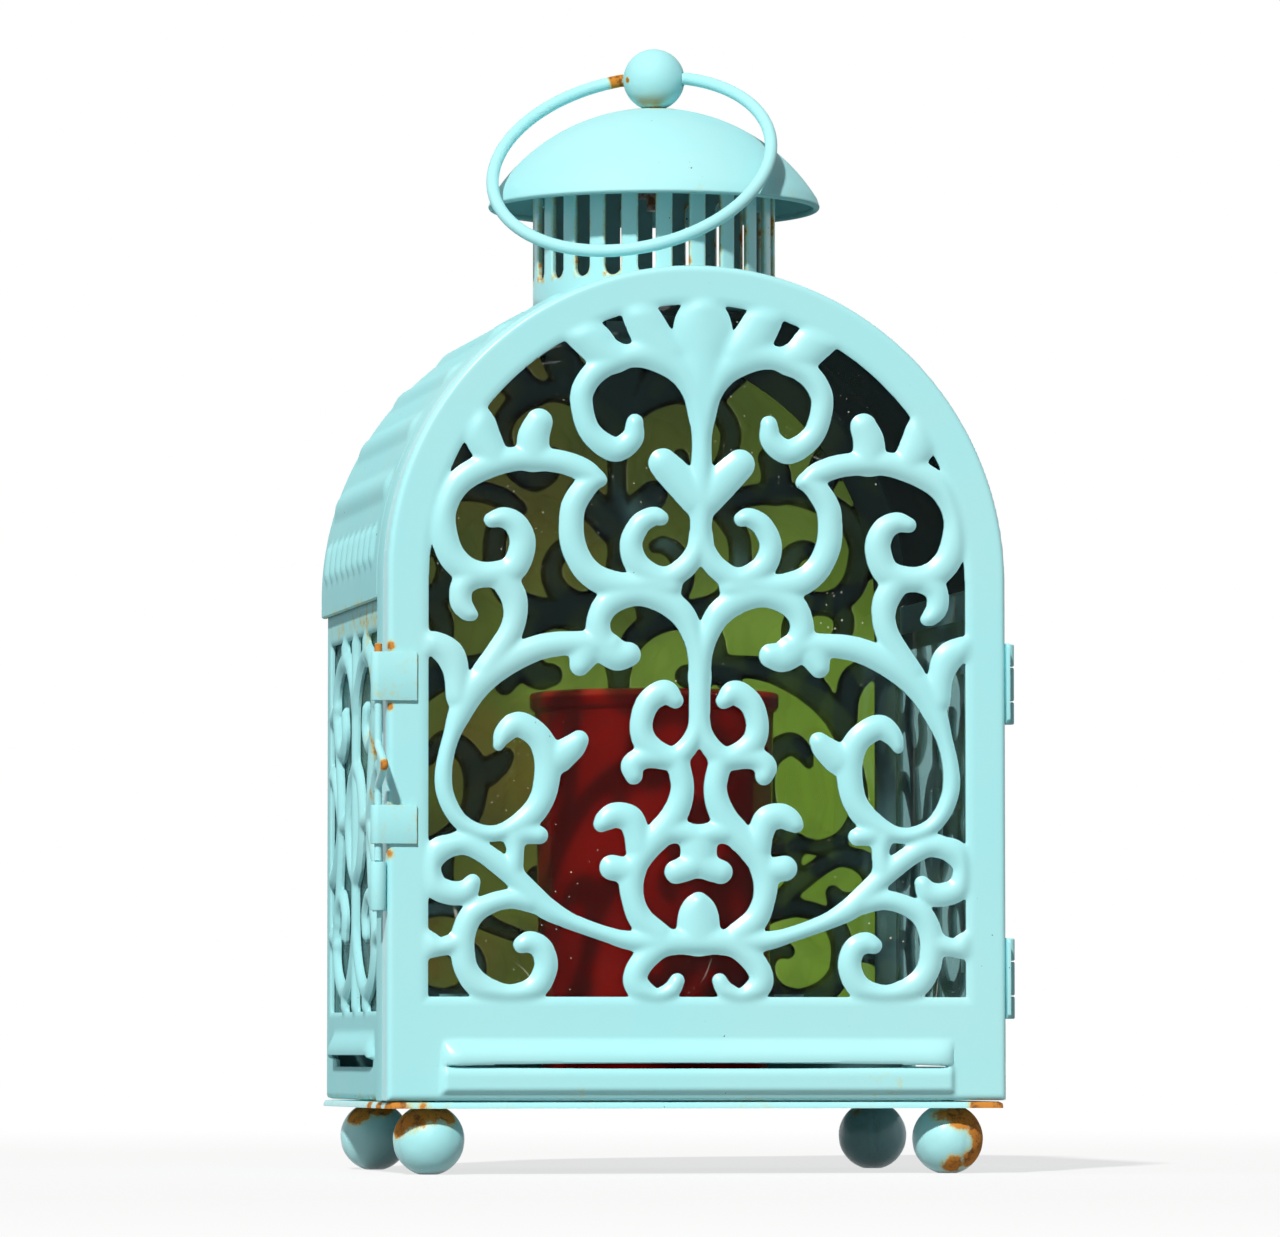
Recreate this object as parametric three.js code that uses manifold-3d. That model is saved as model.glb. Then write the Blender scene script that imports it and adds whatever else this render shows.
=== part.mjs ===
// Grave lantern of painted sheet steel: a barrel-roofed box with a pierced door, a slotted
// chimney under a domed cap, four ball feet, and a candle cup inside.
// Millimetres, +Z up, the door faces -Y. The origin is the middle of the lowest face of its box.
import * as THREE from 'three';
import { mergeVertices } from 'three/addons/utils/BufferGeometryUtils.js';
import Module from 'manifold-3d';

const wasm = await Module();
wasm.setup();

// Driving dimensions
const bodyWidth = 158.7;
const bodyDepth = 114;
const archHeight = 131.35;
const sheet = 1.2;
const gap = 0.3;

const footDiameter = 18;
const footInset = 12.6;
const footSeat = 1;
const footTread = 0.3;
const screwRadius = 1.6;
const screwHeadRadius = 3.4;
const screwHeadHeight = 2;
const screwLength = 9;

const doorFlange = 7;
const frameBand = 10;
const frameStop = 6;
const windowBorder = 10.45;
const windowBottom = 26;
const louvreInset = 14;
const louvreHeight = 6;
const louvreSill = 8.2;
const louvreSlit = 1;
const louvreRise = 1.6;

const eaveDrop = 4.85;
const wallLap = 4.5;
const ribHeight = 1.1;
const ribHalfWidth = 4.8;
const ribAngles = [18, 30, 42, 54, 66];
const ribEndSetback = 3;
const fluteCount = 9;
const flutePitch = 9.6;
const fluteLength = 12;
const fluteHalfWidth = 3.3;
const fluteAngle = 6.6;

const sideWindowBottom = 22.5;
const sideWindowHead = 12.35;
const sideWindowHalfWidth = 42;
const sideFlange = 5;
const sideLouvreLength = 70;

const rearInset = 4;

const glassThickness = 2;
const glassLap = 4;
const clipWidth = 8;
const clipReach = 5.5;
const clipSheet = 0.8;
const sideClipInset = 14;
const doorClipPlaces = [0.457, 0.914];
const rearClipInset = 34.35;

const chimneyRadius = 31.5;
const chimneyRise = 32.8;
const smokeHoleRadius = 26;
const slotCount = 22;
const slotWidth = 4.6;
const slotFootRise = 0.6;
const slotLength = 24.7;
const slotTurn = 2.1;

const domeRadius = 43.1;
const domeRise = 24.8;
const domeRimRise = 21.9;
const rimBead = 0.9;
const knobRadius = 8;
const knobSeat = 0.6;
const stemRadius = 2;
const stemGrip = 3;
const bridgeWidth = 10;
const bridgeLeg = 7;
const bridgeRise = 27.8;
const nutRadius = 4.2;
const nutHeight = 3;

const handleRadius = 36.3;
const handleWire = 1.6;
const handleTurn = 24;
const handleSeam = 0.3;

const hingeWidth = 20.4;
const hingeHeights = [30.8, 105.6];
const hingeLeaf = 0.9;
const hingeLeafReach = 7;
const hingeRadius = 1.7;
const hingePin = 0.6;
const hingeMiddle = 8.5;

const boltRadius = 0.95;
const boltTop = 114;
const pullTop = 88.7;
const pullBottom = 78.4;
const pullReach = 11;
const strapSpans = [[64.1, 73.8], [99.9, 112.1]];
const strapSheet = 0.65;
const strapReach = 9.6;
const keeperTop = 59.6;
const keeperBottom = 47.5;
const keeperWall = 0.85;
const keeperLeaf = 11;

const cupHeight = 105;
const cupFootRadius = 29.3;
const cupTopRadius = 31.1;
const cupRimRadius = 32.3;
const cupWall = 1.6;
const cupRimHeight = 5;
const waxHeight = 42;
const wickRadius = 0.8;
const wickHeight = 13;

// Places that follow from the driving dimensions
const archRadius = bodyWidth / 2;
const faceY = -bodyDepth / 2;
const rearY = bodyDepth / 2;
const footRadius = footDiameter / 2;
const footCentre = footRadius - footTread;
const trayBottom = footCentre + footRadius - footSeat + gap;
const trayTop = trayBottom + sheet;
const sill = trayTop + gap;
const spring = sill + archHeight;
const flangeRear = faceY + doorFlange;
const frameFront = flangeRear + gap;
const wallFront = frameFront + frameBand + gap;
const wallOuter = archRadius - sheet - 0.4;
const wallInner = wallOuter - sheet;
const wallMiddle = (wallFront + rearY) / 2;
const wallTop = sill + archHeight - eaveDrop + wallLap;
const rearSheetY = rearY - rearInset;
const bodyMiddle = (frameFront + rearY) / 2;
const windowHalfWidth = archRadius - windowBorder;
const windowRadius = windowHalfWidth - 0.1;
const louvreLength = bodyWidth - 2 * louvreInset;
const rearClipOffset = archRadius - rearClipInset;
const windowTop = archHeight + windowRadius;
const sideWindowTop = archHeight - sideWindowHead;
const crown = spring + archRadius;

// Materials
const paint = { color: 0xa9ebf0, roughness: 0.34, metalness: 0 };
const rust = { color: 0x8a4a22, roughness: 0.85, metalness: 0.2 };
const bareSteel = { color: 0x8c8f8c, roughness: 0.45, metalness: 0.9 };
const clearGlass = { color: 0xdfeeee, roughness: 0.05, metalness: 0, transparent: true, opacity: 0.25 };
const redPlastic = { color: 0xa01410, roughness: 0.18, metalness: 0, transparent: true, opacity: 0.8 };
const wax = { color: 0xf1e6cf, roughness: 0.5, metalness: 0 };
const wickCord = { color: 0x2c2620, roughness: 0.9, metalness: 0 };

const lantern = new THREE.Group();

// Solids
function solid(geometry) {
  const bare = geometry.clone();
  bare.deleteAttribute('normal');
  bare.deleteAttribute('uv');
  const merged = mergeVertices(bare, 1e-4);
  const corners = merged.index.array;
  const triangles = [];
  for (let i = 0; i < corners.length; i += 3) {
    const [a, b, c] = [corners[i], corners[i + 1], corners[i + 2]];
    if (a !== b && b !== c && c !== a) triangles.push(a, b, c);
  }
  return new wasm.Manifold(new wasm.Mesh({
    numProp: 3,
    vertProperties: Float32Array.from(merged.attributes.position.array),
    triVerts: Uint32Array.from(triangles),
  }));
}

function geometryOf(body) {
  const mesh = body.asOriginal().simplify(0.02).getMesh();
  const flat = new THREE.BufferGeometry();
  flat.setAttribute('position', new THREE.BufferAttribute(mesh.vertProperties, 3));
  flat.setIndex(new THREE.BufferAttribute(mesh.triVerts, 1));
  const faceted = flat.toNonIndexed();
  faceted.computeVertexNormals();
  return faceted;
}

function piece(name, body, look) {
  const mesh = new THREE.Mesh(geometryOf(body), new THREE.MeshStandardMaterial(look));
  mesh.name = name;
  lantern.add(mesh);
  return mesh;
}

function block(x0, x1, y0, y1, z0, z1) {
  const box = new THREE.BoxGeometry(x1 - x0, y1 - y0, z1 - z0);
  return solid(box.translate((x0 + x1) / 2, (y0 + y1) / 2, (z0 + z1) / 2));
}

function upright(radius, z0, z1, x = 0, y = 0, sides = 24) {
  const post = new THREE.CylinderGeometry(radius, radius, z1 - z0, sides);
  return solid(post.rotateX(Math.PI / 2).translate(x, y, (z0 + z1) / 2));
}

// A plate in the plane of the door, from yFront back by its thickness.
function doorwisePlate(shape, yFront, thickness, curveSegments = 20) {
  const plate = new THREE.ExtrudeGeometry(shape, { depth: thickness, bevelEnabled: false, curveSegments });
  return solid(plate.rotateX(Math.PI / 2).translate(0, yFront + thickness, 0));
}

// A plate in the plane of a side wall, from xLow outward by its thickness; the shape's x runs along Y.
function sidewisePlate(shape, xLow, thickness) {
  const plate = new THREE.ExtrudeGeometry(shape, { depth: thickness, bevelEnabled: false, curveSegments: 12 });
  return solid(plate.rotateX(Math.PI / 2).rotateZ(Math.PI / 2).translate(xLow, 0, 0));
}

function archOutline(radius, bottom, Kind = THREE.Shape, halfWidth = radius) {
  const outline = new Kind();
  const shoulder = spring - (halfWidth < radius ? gap : 0);
  outline.moveTo(-halfWidth, bottom);
  outline.lineTo(halfWidth, bottom);
  outline.lineTo(halfWidth, shoulder);
  outline.absarc(0, spring, radius, 0, Math.PI, false);
  outline.lineTo(-halfWidth, shoulder);
  outline.closePath();
  return outline;
}

function rectangle(x0, x1, y0, y1, Kind = THREE.Shape) {
  const outline = new Kind();
  outline.moveTo(x0, y0);
  outline.lineTo(x1, y0);
  outline.lineTo(x1, y1);
  outline.lineTo(x0, y1);
  outline.closePath();
  return outline;
}

function turned(profile, segments = 40) {
  const points = profile.map(([r, z]) => new THREE.Vector2(r, z));
  return solid(new THREE.LatheGeometry(points, segments).rotateX(Math.PI / 2));
}

// Scroll work. A stroke is a smooth line of [across, up, half width], given for the left half of
// the panel from its centre line and its bottom edge; the right half mirrors it. The strokes of a
// drawing fill its frame, given as the lower and the upper right corner, and are spread to the window.
const doorFrame = [[67.5, 26], [67.5, 200.15]];
const sideFrame = [[42, 22.5], [42, 119]];
const doorScrolls = [
  // the fan of petals under the crown, and the stem
  [[0, 201, 3.2], [0, 198.5, 4.8], [0, 194.3, 7.2], [0, 189, 5.8], [-0.8, 181, 3.8], [-0.5, 174, 3],
    [0, 166, 2.2], [0, 158, 2.6], [0, 152, 3.6], [0, 146, 2.5], [0, 140, 2.6]],
  [[-16.4, 200.8, 2.6], [-15.5, 198.6, 3.8], [-13.8, 196.2, 4.6], [-11.5, 192.2, 5], [-7.8, 188, 4.5]],
  [[-31.2, 194.6, 4.2], [-29.7, 193.4, 4.5], [-26.6, 191, 4.9], [-24, 188.3, 4.5], [-21, 187, 3.8]],
  // the crown scroll
  [[-0.6, 172, 2.3], [-2, 178, 2.6], [-5, 184, 3.6], [-10.5, 187.5, 4], [-17, 187.4, 3],
    [-24.5, 184.3, 3], [-28.5, 179.8, 2.9], [-29.4, 175, 2.8], [-27.2, 167.9, 2.8],
    [-21.3, 163.7, 3.1], [-16.8, 166.3, 2.8], [-16, 170.6, 2.1]],
  // the shoulder arm with its spiral, and the two lobes on it
  [[-24.4, 155.7, 1.3], [-28.5, 158.2, 2.8], [-35, 160.4, 2.9], [-45, 161, 3], [-53.5, 158.9, 3.3],
    [-59.8, 155, 3.2], [-63.2, 149.5, 3.1], [-64, 144, 3.3], [-62.2, 137, 3.4], [-58, 132.7, 3.4],
    [-52.5, 131.7, 3.2], [-46.5, 133.4, 3.4], [-44.1, 139.5, 3.3], [-45.6, 144.2, 3],
    [-48.8, 146.1, 2.6], [-51.9, 145.5, 1.9]],
  [[-40, 170.3, 3.4], [-41.4, 166.5, 4], [-41.5, 162, 4.2]],
  [[-59, 173.5, 3.5], [-55.6, 170, 4.4], [-54, 166, 4.5], [-51.5, 161.5, 3.8]],
  // the inner curve, the vee on the stem and the small scroll below it
  [[-25.2, 156.2, 1.8], [-28.6, 153.8, 2.9], [-31.3, 149.5, 3.1], [-31.95, 145, 3.1],
    [-31.7, 140.5, 3.2], [-30.2, 136.2, 3.2], [-27.6, 132.6, 3.3], [-23.5, 130.2, 3.4],
    [-17, 129.3, 3.2], [-9, 130.7, 3.2]],
  [[-8.9, 160.3, 3.8], [-5.6, 156.7, 4.2], [-1.5, 151.5, 4]],
  [[0, 142, 2.5], [-1.2, 138, 2.6], [-4, 133.9, 2.8], [-9, 131.2, 2.9], [-15, 134.2, 3.1],
    [-17, 139.6, 2.85], [-14.9, 144.7, 2.7], [-11.5, 146.9, 2.4], [-9.5, 146.5, 1.9]],
  // the waist
  [[-7.5, 129.2, 3.3], [-11, 129, 4]],
  [[0, 106, 2.5], [-0.3, 111, 2.6], [-1.7, 116.5, 2.6], [-4.3, 122.2, 3.2], [-9.5, 126.2, 3.4],
    [-16, 127.5, 3.3], [-22.5, 125, 3.3], [-25.2, 120, 3], [-24.2, 114.5, 3.6],
    [-20.8, 111.8, 3.8], [-17.6, 112, 3.1]],
  [[-29.8, 109.1, 2.6], [-28.5, 112.5, 4]],
  // the long arm that runs out to the frame and back in a loop, with its leaf and lobes
  [[-22, 114, 3], [-26.5, 114.6, 3.2], [-31.5, 114.7, 3], [-36, 114.4, 3.1], [-40.8, 113.3, 3.2],
    [-46.8, 110.6, 3.4], [-52.5, 106.8, 3.5], [-56.7, 102.5, 3.5], [-59.7, 96.8, 2.9],
    [-61.7, 91.5, 2.1], [-63.2, 86, 2], [-63.8, 81, 2.15], [-63.3, 76.5, 2.15], [-61.3, 72, 2.1],
    [-58.3, 68.8, 2], [-53.5, 66.9, 2], [-48.6, 67.4, 2.2], [-42.8, 70.7, 3], [-39.5, 75, 3.1],
    [-38.1, 80, 3.25], [-37.9, 86, 3.4], [-40.2, 91.2, 3.2], [-45.1, 94.2, 3.15],
    [-48.6, 92, 2.5], [-50.1, 88.9, 1.35]],
  [[-30, 90.4, 2.4], [-31.7, 88.5, 3.2], [-35, 86, 3.9]],
  [[-39.9, 66.4, 2.2], [-44, 67, 2.8]],
  [[-46.2, 66, 2.8], [-45.9, 62.5, 2.2], [-46.5, 58, 2.6]],
  // the arm, the limb and the hook beside the frame
  [[-69, 114, 3.1], [-66, 114.2, 3.1], [-62.3, 111.6, 3.7], [-60.6, 107, 3.2], [-60.2, 101, 3]],
  [[-49, 131, 3.4], [-46.4, 126.3, 3.3], [-45.9, 122, 3], [-47, 117.6, 2.95],
    [-49.5, 113.2, 3.1], [-53, 107.8, 3.3]],
  [[-56.5, 131.5, 3.2], [-59.2, 128.6, 2.9], [-59.5, 124.9, 2.75], [-58.1, 122.5, 2.3],
    [-56.8, 121.6, 1.6]],
  // the diagonal, the curl on the frame and the corner scroll with its leaf
  [[-60, 64.3, 2.7], [-57, 63.9, 2.8], [-53.5, 61.8, 2.6], [-50.2, 59.4, 2.7], [-46, 55.8, 2.7],
    [-42.3, 51.8, 3], [-38.2, 48.2, 2.8], [-33, 45.3, 2.15], [-28, 43.3, 1.95], [-23, 41.6, 1.95],
    [-18.3, 40.3, 2.3], [-12, 39.8, 3], [-5, 40, 2.9], [0, 40, 3]],
  [[-60.5, 64.3, 2.6], [-65, 62.4, 3.2], [-66.9, 58.5, 2.6], [-65.8, 53.7, 3], [-61.8, 51.9, 3],
    [-58.2, 52.3, 2.9], [-56.5, 54.7, 1.95]],
  [[-42, 50, 2.9], [-47, 50.5, 2.5], [-52, 49.3, 2.5], [-56.5, 46.6, 2.9], [-58.7, 41.8, 3],
    [-58.9, 37, 3], [-57.8, 32.4, 3], [-54.3, 28.4, 3.2], [-47.5, 26.3, 2.8], [-41, 28.2, 3],
    [-38.25, 33.3, 2.95], [-39.2, 37.9, 2.85], [-42.1, 39.7, 2.7], [-44.3, 39, 2.1]],
  [[-60, 39.5, 2.7], [-64.6, 38.5, 2.4], [-68, 39, 3.6]],
  // the heart on the stem
  [[-5.9, 100.5, 2], [-8.6, 102.6, 3.1], [-12.6, 100, 3], [-14.4, 95, 2.85], [-13.7, 90.6, 3],
    [-10.5, 87.3, 3.1], [-6.5, 86, 2.9], [-3.2, 88.5, 2.6], [-0.8, 93, 2.3], [0, 99, 2.4],
    [0, 107, 2.4]],
  [[-9, 86.2, 2.7], [-13.8, 86, 2.8], [-16.6, 84.1, 2.9], [-16.3, 81.5, 2.2]],
  // the lower limb, its neck, bulbs and curl
  [[-5.5, 86, 2.8], [-4.7, 82.5, 2.9], [-4.1, 78.8, 2.9], [-4.7, 75, 3.1], [-6.4, 71.2, 3.3],
    [-9, 67.6, 3.5], [-12.8, 63.6, 3.3], [-15.6, 59.5, 3.1], [-16.9, 55, 3.1],
    [-16.4, 50, 2.85], [-14.4, 45.4, 3.1], [-10, 41.5, 3.2]],
  [[0, 64.2, 4.4], [0, 61, 4.2]],
  [[-9, 67.8, 3], [-4, 67.3, 2.9], [0, 66.2, 2.6]],
  [[-5.6, 57.4, 3], [-2.8, 58.4, 3.2], [0, 60, 3.4]],
  [[-14.8, 63.5, 3.5], [-15.7, 67.2, 3.2], [-17.2, 70.6, 3.4], [-20.6, 71.6, 3.2],
    [-23, 70.6, 2.8], [-24.4, 69.3, 2]],
  [[-21.7, 58.4, 3.2], [-17, 57.5, 3.2]],
  // the point and the foot scroll at the bottom
  [[0, 42, 5.3], [0, 46.5, 4.7], [0, 50, 2.1]],
  [[0, 39.6, 2.7], [-8, 39.2, 2.9], [-12.8, 36.2, 3], [-15.7, 32, 3], [-15.3, 28.6, 3.1],
    [-11, 25.7, 2.5], [-7, 27.6, 2.2], [-5.4, 30.1, 1.85]],
];

const sideScrolls = [
  // stem
  [[0, 20, 3.2], [0, 30, 2.2], [0, 44, 2.6], [0, 56, 2.3], [0, 71, 2.8], [0, 86, 2.3], [0, 100, 2.6],
    [0, 112, 2.4], [0, 121, 3.4]],
  // lower and upper scrolls
  [[0, 44, 2.4], [-4, 36, 2.4], [-11, 29.5, 2.5], [-20, 27.5, 2.6], [-29, 31.5, 2.7], [-33, 40, 2.7],
    [-30, 49, 2.6], [-22.5, 52, 2.4], [-17, 47.5, 2.2], [-18, 42, 1.8]],
  [[0, 99, 2.4], [-4, 106, 2.4], [-11, 112, 2.5], [-20, 114, 2.6], [-29, 110, 2.7], [-33, 102, 2.7],
    [-30, 93, 2.6], [-22.5, 90, 2.4], [-17, 94.5, 2.2], [-18, 100, 1.8]],
  // middle lens and the limb beside it
  [[0, 56, 2.3], [-8, 61, 2.4], [-12, 71, 2.5], [-8, 81, 2.4], [0, 86, 2.3]],
  [[-31, 46, 2.3], [-27, 57, 2.4], [-24, 71, 2.5], [-27, 85, 2.4], [-31, 97, 2.3]],
  [[-12, 71, 2.4], [-24, 71, 2.4]],
  // links to the frame
  [[-32, 40, 2.6], [-38, 42, 2.4], [-44, 42, 3]],
  [[-32, 102, 2.6], [-38, 100, 2.4], [-44, 100, 3]],
  [[-24, 71, 2.4], [-31, 63, 2.3], [-37, 58, 2.4], [-44, 58, 3]],
  [[-24, 71, 2.4], [-31, 79, 2.3], [-37, 84, 2.4], [-44, 84, 3]],
  [[-18, 28, 2.4], [-18, 20, 3]],
  [[-18, 113, 2.4], [-18, 121, 3]],
];

// How a drawing's strokes are laid into a window: spread across, spread up, and what is added up.
function spreadInto([[drawnHalf, drawnBottom], [, drawnTop]], halfWidth, bottom, top) {
  const up = (top - bottom) / (drawnTop - drawnBottom);
  return { across: halfWidth / drawnHalf, up, lift: bottom - drawnBottom * up };
}

function alongStroke(stroke, { across, up, lift }, spacing) {
  const points = stroke.map(([x, y, halfWidth]) => new THREE.Vector3(x * across, y * up + lift, halfWidth * up));
  const line = new THREE.CatmullRomCurve3(points, false, 'catmullrom', 0.5);
  return line.getSpacedPoints(Math.ceil(line.getLength() / spacing));
}

// How far each point of a grid over the panel lies inside the scroll work, with both halves laid in.
function scrollField(strokes, spread, halfWidth, bottom, top, step) {
  const columns = Math.ceil((2 * halfWidth) / step) + 5;
  const rows = Math.ceil((top - bottom) / step) + 5;
  const left = -halfWidth - 2 * step;
  const low = bottom - 2 * step;
  const depth = new Float32Array(columns * rows).fill(-2 * step);
  for (const stroke of strokes) {
    for (const disc of alongStroke(stroke, spread, step)) {
      for (const x of [disc.x, -disc.x]) {
        const reach = disc.z + 2 * step;
        const i0 = Math.max(0, Math.ceil((x - reach - left) / step));
        const i1 = Math.min(columns - 1, Math.floor((x + reach - left) / step));
        const j0 = Math.max(0, Math.ceil((disc.y - reach - low) / step));
        const j1 = Math.min(rows - 1, Math.floor((disc.y + reach - low) / step));
        for (let j = j0; j <= j1; j += 1) {
          for (let i = i0; i <= i1; i += 1) {
            const inside = disc.z - Math.hypot(left + i * step - x, low + j * step - disc.y);
            const k = j * columns + i;
            depth[k] = Math.max(depth[k], inside);
          }
        }
      }
    }
  }
  return { columns, rows, left, low, step, depth };
}

// The closed outlines of the openings: inside the window and outside the scroll work.
function openings(strokes, spread, windowDepth, halfWidth, bottom, top, step, tolerance) {
  const grid = scrollField(strokes, spread, halfWidth, bottom, top, step);
  const open = grid.depth.map((inside, k) => {
    const x = grid.left + (k % grid.columns) * step;
    const y = grid.low + Math.floor(k / grid.columns) * step;
    return Math.min(-inside, windowDepth(x, y)) || -1e-6;
  });
  const next = new Map();
  const places = new Map();
  const place = (a, b) => {
    const key = a < b ? `${a} ${b}` : `${b} ${a}`;
    if (!places.has(key)) {
      const t = open[a] / (open[a] - open[b]);
      const at = (k) => [grid.left + (k % grid.columns) * step, grid.low + Math.floor(k / grid.columns) * step];
      const [ax, ay] = at(a);
      const [bx, by] = at(b);
      places.set(key, new THREE.Vector2(ax + (bx - ax) * t, ay + (by - ay) * t));
    }
    return key;
  };
  for (let j = 0; j + 1 < grid.rows; j += 1) {
    for (let i = 0; i + 1 < grid.columns; i += 1) {
      const k = j * grid.columns + i;
      const ring = [k, k + 1, k + 1 + grid.columns, k + grid.columns];
      const leaves = [];
      const enters = [];
      for (let c = 0; c < 4; c += 1) {
        const a = ring[c];
        const b = ring[(c + 1) % 4];
        if (open[a] > 0 && open[b] <= 0) leaves.push(place(a, b));
        if (open[a] <= 0 && open[b] > 0) enters.push(place(a, b));
      }
      leaves.forEach((key, n) => next.set(key, enters[n]));
    }
  }
  const loops = [];
  while (next.size > 0) {
    const loop = [];
    let key = next.keys().next().value;
    while (next.has(key)) {
      loop.push(places.get(key));
      const following = next.get(key);
      next.delete(key);
      key = following;
    }
    const slim = slimLoop(loop, tolerance);
    if (slim.length > 3 && Math.abs(THREE.ShapeUtils.area(slim)) > 1) loops.push(slim);
  }
  return loops.map((loop) => new THREE.Path(loop));
}

// Drops the points of a closed outline that lie within the tolerance of the straight line past them.
function slimLoop(loop, tolerance) {
  const far = loop.reduce((best, p, i) => (p.distanceTo(loop[0]) > loop[best].distanceTo(loop[0]) ? i : best), 0);
  const half = (points) => {
    const first = points[0];
    const last = points[points.length - 1];
    const chord = new THREE.Line3(new THREE.Vector3(first.x, first.y), new THREE.Vector3(last.x, last.y));
    let worst = 0;
    let at = 0;
    const nearest = new THREE.Vector3();
    points.forEach((p, i) => {
      const point = new THREE.Vector3(p.x, p.y);
      const away = point.distanceTo(chord.closestPointToPoint(point, true, nearest));
      if (away > worst) {
        worst = away;
        at = i;
      }
    });
    if (worst <= tolerance) return [first];
    return [...half(points.slice(0, at + 1)), ...half(points.slice(at))];
  };
  return [...half(loop.slice(0, far + 1)), ...half([...loop.slice(far), loop[0]])];
}

function raised(loops) {
  for (const loop of loops) {
    for (const line of loop.curves) {
      line.v1.y += sill;
      line.v2.y += sill;
    }
  }
  return loops;
}

const archWindow = (x, y) => Math.min(
  y - windowBottom,
  y > archHeight ? windowRadius - Math.hypot(x, y - archHeight) : windowHalfWidth - Math.abs(x),
);
const doorOpenings = (step, tolerance) => raised(openings(
  doorScrolls,
  spreadInto(doorFrame, windowHalfWidth, windowBottom, windowTop),
  archWindow,
  windowHalfWidth,
  windowBottom,
  windowTop,
  step,
  tolerance,
));
const fineOpenings = doorOpenings(0.6, 0.4);
const coarseOpenings = doorOpenings(0.8, 0.8);
const sideWindow = (x, y) => Math.min(
  y - sideWindowBottom,
  sideWindowTop - y,
  sideWindowHalfWidth - Math.abs(x),
);
const sideOpenings = raised(openings(
  sideScrolls,
  spreadInto(sideFrame, sideWindowHalfWidth, sideWindowBottom, sideWindowTop),
  sideWindow,
  sideWindowHalfWidth,
  sideWindowBottom,
  sideWindowTop,
  0.6,
  0.4,
));

// Feet: steel balls, each held by a screw through the tray
const footSpots = [
  ['front_left', -1, -1],
  ['front_right', 1, -1],
  ['rear_left', -1, 1],
  ['rear_right', 1, 1],
].map(([name, sx, sy]) => ({
  name,
  x: sx * (archRadius - footInset),
  y: sy * (bodyDepth / 2 - footInset),
}));

for (const { name, x, y } of footSpots) {
  const ball = solid(new THREE.SphereGeometry(footRadius, 16, 10).rotateX(Math.PI / 2).translate(x, y, footCentre));
  const kept = block(x - footRadius, x + footRadius, y - footRadius, y + footRadius, 0, trayBottom - gap);
  const tapping = upright(screwRadius + gap, trayTop + gap - screwLength - gap, trayTop, x, y, 12);
  piece(`foot_${name}`, ball.intersect(kept).subtract(tapping), paint);
  const head = upright(screwHeadRadius, trayTop + gap, trayTop + gap + screwHeadHeight, x, y, 16);
  const shank = upright(screwRadius, trayTop + gap - screwLength, trayTop + gap + 1, x, y, 12);
  piece(`foot_screw_${name}`, head.add(shank), bareSteel);
}

// Base tray: a flat pan whose rim turns down a little round its edge
{
  const half = archRadius - 0.5;
  const plate = block(-half, half, faceY + 0.5, rearY - 0.5, trayBottom, trayTop);
  const lip = block(-half, half, faceY + 0.5, rearY - 0.5, trayBottom - sheet, trayTop)
    .subtract(block(-half + sheet, half - sheet, faceY + 0.5 + sheet, rearY - 0.5 - sheet, 0, trayTop + 1));
  let tray = plate.add(lip);
  for (const { x, y } of footSpots) {
    tray = tray.subtract(upright(screwRadius + gap, trayBottom - 1, trayTop + 1, x, y, 12));
  }
  piece('base_tray', tray, paint);
}

// A louvre: a half-round bead along X, standing out of a plate towards -Y
function louvreBead(length, height, rise, x, y, z) {
  const bead = new THREE.CapsuleGeometry(height / 2, length - height, 3, 12);
  bead.rotateZ(Math.PI / 2).scale(1, rise / (height / 2), 1);
  return solid(bead.translate(x, y, z));
}

// Side walls: pierced sheets with turned edges front and rear and a small hooded louvre at the foot
for (const [name, side] of [['left', -1], ['right', 1]]) {
  const xLow = side > 0 ? wallInner : -wallOuter;
  const outline = rectangle(wallFront - wallMiddle, rearY - wallMiddle, sill, wallTop);
  outline.holes.push(...sideOpenings);
  let wall = sidewisePlate(outline, xLow, sheet).translate([0, wallMiddle, 0]);
  for (const [y0, y1] of [[wallFront, wallFront + sheet], [rearY - sheet, rearY]]) {
    const [x0, x1] = side > 0 ? [wallInner - sideFlange, wallOuter] : [-wallOuter, -wallInner + sideFlange];
    wall = wall.add(block(x0, x1, y0, y1, sill, wallTop - wallLap));
  }
  const hood = louvreBead(sideLouvreLength, louvreHeight, louvreRise, 0, 0, 0);
  const hoodZ = sill + louvreSill + louvreSlit + 2 + louvreHeight / 2;
  const turn = side > 0 ? 90 : -90;
  const placed = hood.rotate([0, 0, turn]).translate([side * wallOuter, wallMiddle, hoodZ]);
  const outside = block(side > 0 ? wallInner : -wallOuter - 9, side > 0 ? wallOuter + 9 : -wallInner,
    wallFront, rearY, sill, wallTop);
  wall = wall.add(placed.intersect(outside));
  const slitTop = hoodZ - louvreHeight / 2;
  const slitHalf = sideLouvreLength / 2 - 3;
  wall = wall.subtract(block(side * archRadius - 9, side * archRadius + 9,
    wallMiddle - slitHalf, wallMiddle + slitHalf, slitTop - 2.4, slitTop));
  piece(`side_panel_${name}`, wall, paint);
}

// Rear panel: the same scroll work as the door, set in a little from the rear edge
{
  const outline = archOutline(archRadius - sheet - gap, sill, THREE.Shape, wallInner - gap);
  outline.holes.push(...coarseOpenings);
  piece('rear_panel', doorwisePlate(outline, rearSheetY - sheet - gap, sheet), paint);
}

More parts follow.
